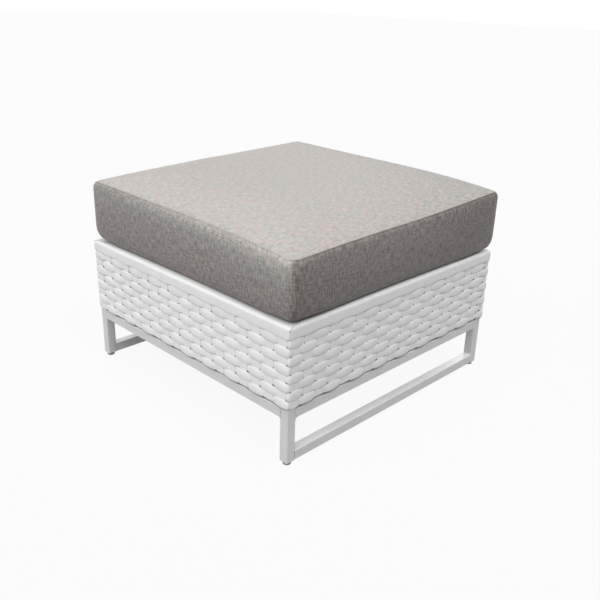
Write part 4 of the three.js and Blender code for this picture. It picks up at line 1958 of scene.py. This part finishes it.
        # Everything below paints light and shade into the tone.
        wear, below = self.wear, self.depth_below(wall)
        place = Square.of(wall[-1, :, 0], wall[-1, :, 1])
        front = place.side == Side.FRONT
        corner = (1 - self.seam_marks(place)) * front
        reach = place.mixed(wear.reach, wear.turn)
        reach = reach + wear.reach_corner * corner + wear.reach_front * place.share * front
        along_front = wear.over_front * place.share * front
        over = place.mixed(wear.over, wear.turn) + along_front + wear.over_corner * corner
        height = (wall[..., 2] - self.base) / self.level_rise
        right = smooth(place.share, *wear.right_rise) * (place.side == Side.RIGHT)
        floor = place.mixed(wear.floor, wear.turn) + wear.floor_front * along_front
        floor = floor - wear.floor_right * right
        rise = wear.rise * (1 - wear.rise_right * right)
        foot = wear.foot * (1 - smooth(height, *wear.foot_height))
        foot_front = wear.foot_front * front * (1 - smooth(height, *wear.foot_front_height))
        side = floor + rise * np.clip(height, 0, 1) - foot - foot_front
        seam = place.mixed(wear.seam) * self.seam_marks(place)
        seam = seam * bell(below, wear.seam_width)
        slant = place.mixed(self.sewing.slant)
        streak = self.gathers(lengths(wall[-1])[None] + slant[None] * below)
        streak = streak * np.exp(-below / wear.streak_fade)
        streak = wear.streak * streak * place.mixed(wear.streaks)[None]
        spill = over * np.exp(-((below / reach) ** wear.over_power))
        return np.clip(side + spill - seam + streak, 0, 1)

    def top_tone(self, cells: int) -> Array:
        """Painted light of the top panel: full inside, with painted shade within its seams and
        towards the back right corner.

        Args:
            cells: Cells of the fine panel each way.

        Returns:
            Tone of each point, rows by columns.
        """
        p, q = unit_grid(cells)
        place = Square.of(p, q)
        inside = (1 - place.ring) * self.half
        edge = place.mixed(self.wear.top_edge)
        far_shade = self.wear.top_far_shade * smooth((p + q) / 2, *self.wear.top_far_shade_from)
        return 1 - edge * np.exp(-inside / self.wear.top_edge_fade) - far_shade

    def depth_below(self, wall: Array) -> Array:
        """Length down the cloth from the top seam, by summing the steps between rows.

        Args:
            wall: Points of the boxing, rows by points round the box.

        Returns:
            The length at each point.
        """
        steps = np.linalg.norm(np.diff(wall, axis=0), axis=-1)
        down = np.cumsum(steps[::-1], axis=0)[::-1]
        return np.concatenate([down, np.zeros_like(down[:1])])

    def facing(self, wall: Array) -> Array:
        """Outward direction at each point of the boxing: along the row, crossed with up it."""
        along = np.roll(wall, -1, 1) - np.roll(wall, 1, 1)
        return unit(np.cross(along, np.gradient(wall, axis=0)))

    def sewn_wall(self, wall: Array, rows: Array) -> Array:
        """Boxing with its seams pinched, gathers below the top seam and the zip's slot.

        Each pinch is a Gaussian of the distance from its seam. Gathers fade down the side by
        an exponential. Round the zip the wall passes over to a flat face.

        Args:
            wall: Smooth boxing, rows by points round the box.
            rows: Rows as shares of the level rise.

        Returns:
            The sewn boxing.
        """
        sewing, below = self.sewing, self.depth_below(wall)
        place = Square.of(wall[-1, :, 0], wall[-1, :, 1])
        slant = place.mixed(sewing.slant)
        strength = place.mixed(sewing.gather)
        on_right = np.where(place.side == Side.RIGHT, 1, 0)
        strength = strength * (1 + sewing.gather_right * place.share * on_right)
        fade = place.mixed(sewing.fade)
        shape = np.clip(below / sewing.start, 0, 1) * np.exp(-below / fade[None])
        gather = self.gathers(lengths(wall[-1])[None] + slant[None] * below) * shape
        depth = place.mixed(sewing.pinch) * self.seam_marks(place)
        pinch = -depth * bell(below, sewing.pinch_width)
        groove = sewing.groove * bell(below - self.stitch_depth, sewing.groove_width)
        lowest = np.linalg.norm(wall - wall[:1], axis=-1)
        base_pinch = sewing.base_pinch * bell(lowest, sewing.base_width)
        drawn = strength[None] * gather + pinch + groove + base_pinch
        wall = wall + self.facing(wall) * drawn[..., None]
        back = wall[..., 1] > self.zip_behind
        nominal = (self.base + self.base_clear + rows * self.level_rise)[:, None]
        near = 1 - smooth(np.abs(nominal - self.zip_height), *self.zip_near)
        beside = smooth(np.abs(wall[..., 0]), self.zip_half, self.zip_half + self.zip_fade)
        flat = near * (1 - beside) * back
        wall[..., 1] += flat * (self.zip_face - wall[..., 1])
        wall[..., 2] += flat * (nominal - wall[..., 2])
        in_slot = np.abs(nominal - self.zip_height) < self.slot_half
        slot = in_slot & back & (np.abs(wall[..., 0]) < self.zip_half)
        wall[..., 1] -= self.slot_deep * slot
        return wall

    def seam_marks(self, place: Square) -> Array:
        """How plainly the seam shows: fully, but hardly where the front corner is rounded over.

        Args:
            place: Points of the seam.

        Returns:
            Share of the full mark at each point.
        """
        front_end = (place.side == Side.FRONT) & (place.share > 0)
        right_start = (place.side == Side.RIGHT) & (place.share < 0)
        to_corner = (1 - np.abs(place.share)) * self.half
        reach = np.where(front_end | right_start, to_corner, self.half)
        return 1 - self.sewing.rounded * bell(reach, self.sewing.rounded_reach)

    def gathers(self, along: Array) -> Array:
        """Puckers along a seam: five waves of uneven length that beat against each other.

        Args:
            along: Length along the seam.

        Returns:
            Their height, about -1 to 1.
        """
        chance = np.random.default_rng(self.sewing.seed)
        waves = np.array(self.sewing.wave_lengths)
        phases = chance.uniform(0, 2 * np.pi, len(waves))
        return np.sin(2 * np.pi * along[..., None] / waves + phases).sum(-1) / 2

    def sewn_top(self, top: Array) -> Array:
        """Top panel with soft hollows: slow waves, and puckers that die out from the seam.

        Args:
            top: Smooth top panel, rows by columns.

        Returns:
            The sewn panel.
        """
        sewing = self.sewing
        p, q = unit_grid(len(top) - 1)
        place = Square.of(p, q)
        inside = (1 - place.ring) * self.half
        along = (2 * place.side + place.share) * self.half
        shape = np.clip(inside / sewing.start, 0, 1)
        pucker = self.gathers(along) * shape * np.exp(-inside / sewing.top_fade)
        pinch = sewing.top_pinch * bell(inside, sewing.top_width)
        slow = np.sin(9.1 * p + 1.3) * np.sin(7.7 * q + 0.4)
        slow = slow + 0.6 * np.sin(15.0 * p - 8.0 * q + 2.0)
        calm = 1 - place.ring**sewing.hollow_power
        top = top.copy()
        top[..., 2] += sewing.top_gather * pucker + pinch + sewing.hollow * slow * calm
        return top

    def stitches(self, wall: Array) -> None:
        """A row of thread stitches below the top seam, each sunk into the cloth at its ends.

        The row's line is where the length down the cloth passes stitch_depth. A stitch is a
        six-sided tube; its middle lies proud by its radius, and its ends dip below the cloth.

        Args:
            wall: The fine boxing's points.
        """
        below = self.depth_below(wall)
        facing = self.facing(wall)
        upper = (below > self.stitch_depth).sum(0)
        column = np.arange(wall.shape[1])
        high, low = below[upper, column], below[upper - 1, column]
        t = ((low - self.stitch_depth) / (low - high))[:, None]
        line = wall[upper - 1, column] * (1 - t) + wall[upper, column] * t
        outward = unit(facing[upper - 1, column] * (1 - t) + facing[upper, column] * t)
        closed = np.concatenate([line, line[:1]])
        length = lengths(closed)
        count = int(length[-1] / self.stitch_pitch)
        share = np.linspace(-0.5, 0.5, self.stitch_steps)
        middle = (np.arange(count) + 0.5) * length[-1] / count
        at = middle[:, None] + share[None] * self.stitch_length
        outward = np.concatenate([outward, outward[:1]])
        place = np.stack([np.interp(at, length, closed[:, k]) for k in range(3)], -1)
        normal = unit(np.stack([np.interp(at, length, outward[:, k]) for k in range(3)], -1))
        way = unit(np.gradient(place, axis=1))
        side = np.cross(normal, way)
        arch = self.stitch_radius * (1.0 - 2.6 * np.abs(2 * share) ** 3)
        angle = np.arange(6) * np.pi / 3
        thick = self.stitch_radius * np.sqrt(1 - 0.7 * (2 * share) ** 2)
        spoke = (
            np.cos(angle)[None, None, :, None] * normal[:, :, None] * 0.8
            + np.sin(angle)[None, None, :, None] * side[:, :, None]
        )
        points = place[:, :, None] + normal[:, :, None] * arch[None, :, None, None]
        points = points + spoke * thick[None, :, None, None]
        skin = Skin()
        skin.tubes(points, 0.0)
        finish = self.finishes["sewing_thread"]
        thread = skin.piece("cushion_stitches", finish, Slot.FABRIC, Body.CUSHION.value)
        log.info("%s: %d stitches", thread.name, count)

    def fill(self) -> None:
        """Foam block inside the cover, a little smaller all round."""
        points, faces = self.start_shape(BoxCloth(*self.foam_cells))
        centre = np.array([*self.shift, self.base + self.foam_middle])
        points = centre + (points - centre) * np.array(self.foam_share)
        skin = Skin()
        skin.add(points, faces)
        dress = (self.finishes["foam"], Slot.FILL, Body.CUSHION.value)
        foam = skin.piece("cushion_foam", *dress, "cushion_fill")


# Zip


@dataclass
class Zip:
    """Zip in the back of the cushion: tape, teeth, slider and pull."""

    finishes: Finishes
    height: float = 0.3788
    half_length: float = 0.220
    tape_width: float = 0.024
    tape_middle: float = 0.3366
    tape_thick: float = 0.0008
    tape_bow: float = 0.0001
    tape_share: Values = (-1, -0.97, -0.85, -0.3, 0.3, 0.85, 0.97, 1)
    tape_steps: int = 221
    tape_tone: float = 0.1
    tooth_half_row: float = 0.2165
    tooth_pitch: float = 0.0014
    tooth_reach: Pair = (-0.0005, 0.0022)
    tooth_middle: float = 0.33835
    tooth_half: Pair = (0.0005, 0.00135)

    def tape(self) -> None:
        """The woven tape: a flat ribbon along X, with thickened edges."""
        along = np.linspace(-self.half_length, self.half_length, self.tape_steps)
        width = np.full(len(along), self.tape_width)
        middle = np.full(len(along), self.tape_middle)
        share = np.array(self.tape_share)
        ring = ribbon_ring(width, middle, share, self.tape_bow, self.tape_thick)
        places = [along[:, None] + 0 * ring[..., 0], ring[..., 1], self.height + ring[..., 0]]
        uv = np.stack([places[0], ring[..., 0]], -1)
        skin = Skin()
        skin.tube(np.stack(places, -1), False, self.tape_tone, uv)
        finish = self.finishes["zip_cloth"]
        skin.piece("zip_tape_woven", finish, Slot.ZIP, Body.CUSHION.value, "zip_tape")

    def teeth(self) -> None:
        """Teeth: upright six-sided studs with small ends, from above and below in turn."""
        count = int(2 * self.tooth_half_row / self.tooth_pitch)
        middle = (np.arange(count) - (count - 1) / 2) * self.tooth_pitch
        turn = np.where(np.arange(count) % 2, 1, -1)[:, None]
        low, high = self.tooth_reach
        ends = np.sort(np.concatenate([turn * low, turn * high], 1), axis=1)
        step = np.array([0.0, 0.12, 0.88, 1.0])
        size = np.array([0.55, 1.0, 1.0, 0.55])
        up = ends[:, :1] + (ends[:, 1:] - ends[:, :1]) * step
        angle = np.arange(6) * np.pi / 3
        half_x, half_y = self.tooth_half
        points = np.empty((count, len(step), len(angle), 3))
        points[..., 0] = middle[:, None, None] + half_x * size[:, None] * np.sin(angle)
        points[..., 1] = self.tooth_middle + half_y * size[:, None] * np.cos(angle)
        points[..., 2] = self.height + up[..., None]
        skin = Skin()
        skin.tubes(points)
        row = skin.piece("zip_teeth", self.finishes["zip_plastic"], Slot.ZIP, Body.CUSHION.value)
        log.info("%s: %d teeth", row.name, count)

    def build(self) -> None:
        """The zip's pieces; slider and pull keep their solids."""
        self.tape()
        self.teeth()
        for name in ("zip_slider", "zip_pull"):
            coat(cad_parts[name], self.finishes["zinc_plating"])


# Studio


@dataclass(frozen=True)
class Lamp:
    """A broad far lamp: its way from the footstool, its width in degrees, and its light."""

    name: str
    towards: Triple
    spread: float
    power: float

    def hang(self) -> None:
        """Puts the lamp into the scene; its power is the light on a surface that faces it."""
        light = bpy.data.lights.new(self.name, "SUN")
        light.angle = np.radians(self.spread)
        light.energy = self.power
        lamp = placed(self.name, light)
        lamp.rotation_mode = "QUATERNION"
        lamp.rotation_quaternion = Vector(self.towards).to_track_quat("Z", "Y")


@dataclass
class Studio:
    """Pale floor, soft lamps and the camera."""

    azimuth: float = 44.458
    elevation: float = 22.742
    roll: float = 1.716
    distance: float = 1.886367
    target: Triple = (0.032591, -0.002149, 0.177457)
    lens: float = 44.994
    sensor: float = 36.0
    far: float = 50.0
    world_level: float = 0.07
    floor_size: float = 40.0
    floor_tone: float = 0.46
    floor_rough: float = 0.9
    floor_share: float = 0.93
    lamps: tuple[Lamp, ...] = (
        Lamp("lamp_top", (0.30, -0.36, 1.0), 70.0, 2.44),
        Lamp("lamp_front_left", (-0.5, -1.0, 0.36), 50.0, 1.02),
        Lamp("lamp_right", (1.0, -0.15, 1.7), 24.0, 0.55),
        Lamp("lamp_back", (-0.7, 1.0, 0.45), 60.0, 0.60),
    )

    def floor(self) -> None:
        """White floor: white to the camera, with part of the real shadow kept."""
        size = self.floor_size / 2
        mesh = bpy.data.meshes.new("studio_floor")
        corners = [(-size, -size, 0), (size, -size, 0), (size, size, 0), (-size, size, 0)]
        mesh.from_pydata(corners, [], [(0, 1, 2, 3)])
        floor = placed("studio_floor", mesh)
        material = bpy.data.materials.new("floor_paper")
        material.use_nodes = True
        nodes = Nodes(material.node_tree)
        paper = material.node_tree.nodes["Principled BSDF"]
        tone = (*(self.floor_tone,) * 3, 1.0)
        nodes.put(paper, {"Base Color": tone, "Roughness": self.floor_rough})
        glow = nodes.add("ShaderNodeEmission")
        self.mixed(nodes, paper, glow, self.floor_share, "Material Output")
        mesh.materials.append(material)

    def seen(self, nodes: Nodes, share: float) -> Socket:
        """A share for rays from the camera, off gloss or through glass, and 0 for others.

        Args:
            nodes: Nodes of the material or world.
            share: The share.

        Returns:
            The value.
        """
        path = nodes.add("ShaderNodeLightPath")
        rays = [path.outputs[f"Is {kind} Ray"] for kind in ("Camera", "Glossy", "Transmission")]
        either = nodes.math("MAXIMUM", nodes.math("MAXIMUM", rays[0], rays[1]), rays[2])
        return nodes.math("MULTIPLY", either, share)

    def mixed(
        self, nodes: Nodes, real: Node, shown: Node, share: float, out: str
    ) -> None:
        """Joins two shaders to the output.

        Args:
            nodes: Nodes of the material or world.
            real: Shader that lights the footstool.
            shown: Shader that the camera sees.
            share: How much of it the camera sees.
            out: Name of the output node.
        """
        mix = nodes.add("ShaderNodeMixShader")
        nodes.join(self.seen(nodes, share), mix.inputs[0])
        nodes.join(real.outputs[0], mix.inputs[1])
        nodes.join(shown.outputs[0], mix.inputs[2])
        nodes.join(mix.outputs[0], nodes.tree.nodes[out].inputs["Surface"])

    def world(self) -> None:
        """World that lights softly and looks white."""
        world = bpy.data.worlds.new("studio")
        world.use_nodes = True
        bpy.context.scene.world = world
        nodes = Nodes(world.node_tree)
        soft = world.node_tree.nodes["Background"]
        white = nodes.add("ShaderNodeBackground")
        nodes.put(soft, {"Strength": self.world_level, "Color": (1, 1, 1, 1)})
        nodes.put(white, {"Color": (1, 1, 1, 1)})
        self.mixed(nodes, soft, white, 1.0, "World Output")

    def camera(self) -> None:
        """Camera at the photograph's place, turned a little about its own axis."""
        turn, tilt, roll = np.radians([self.azimuth, self.elevation, self.roll])
        back = np.array([np.sin(turn) * np.cos(tilt), -np.cos(turn) * np.cos(tilt), np.sin(tilt)])
        level = np.cross(-back, [0, 0, 1])
        level /= np.linalg.norm(level)
        upright = np.cross(level, -back)
        right = np.cos(roll) * level + np.sin(roll) * upright
        up = -np.sin(roll) * level + np.cos(roll) * upright
        place = np.array(self.target) + self.distance * back
        data = bpy.data.cameras.new("camera")
        data.lens = self.lens
        data.sensor_width = self.sensor
        data.clip_end = self.far
        camera = placed("camera", data)
        axes = np.column_stack([right, up, back, place])
        camera.matrix_world = Matrix([*axes.tolist(), [0, 0, 0, 1]])
        bpy.context.scene.camera = camera

    def build(self) -> None:
        """Everything round the footstool."""
        bpy.context.scene.view_settings.view_transform = "Standard"
        self.floor()
        self.world()
        for lamp in self.lamps:
            lamp.hang()
        self.camera()


def main() -> None:
    """Builds the footstool piece by piece, then the studio."""
    logging.basicConfig(level=logging.INFO, format="%(name)s %(message)s")
    finishes = Finishes()
    SledFrame(finishes).dress()
    Glides(finishes).build()
    WovenBody(finishes).build()
    SeatStraps(finishes).build()
    Cushion(finishes).build()
    Zip(finishes).build()
    Studio().build()


if __name__ == "__main__":
    main()
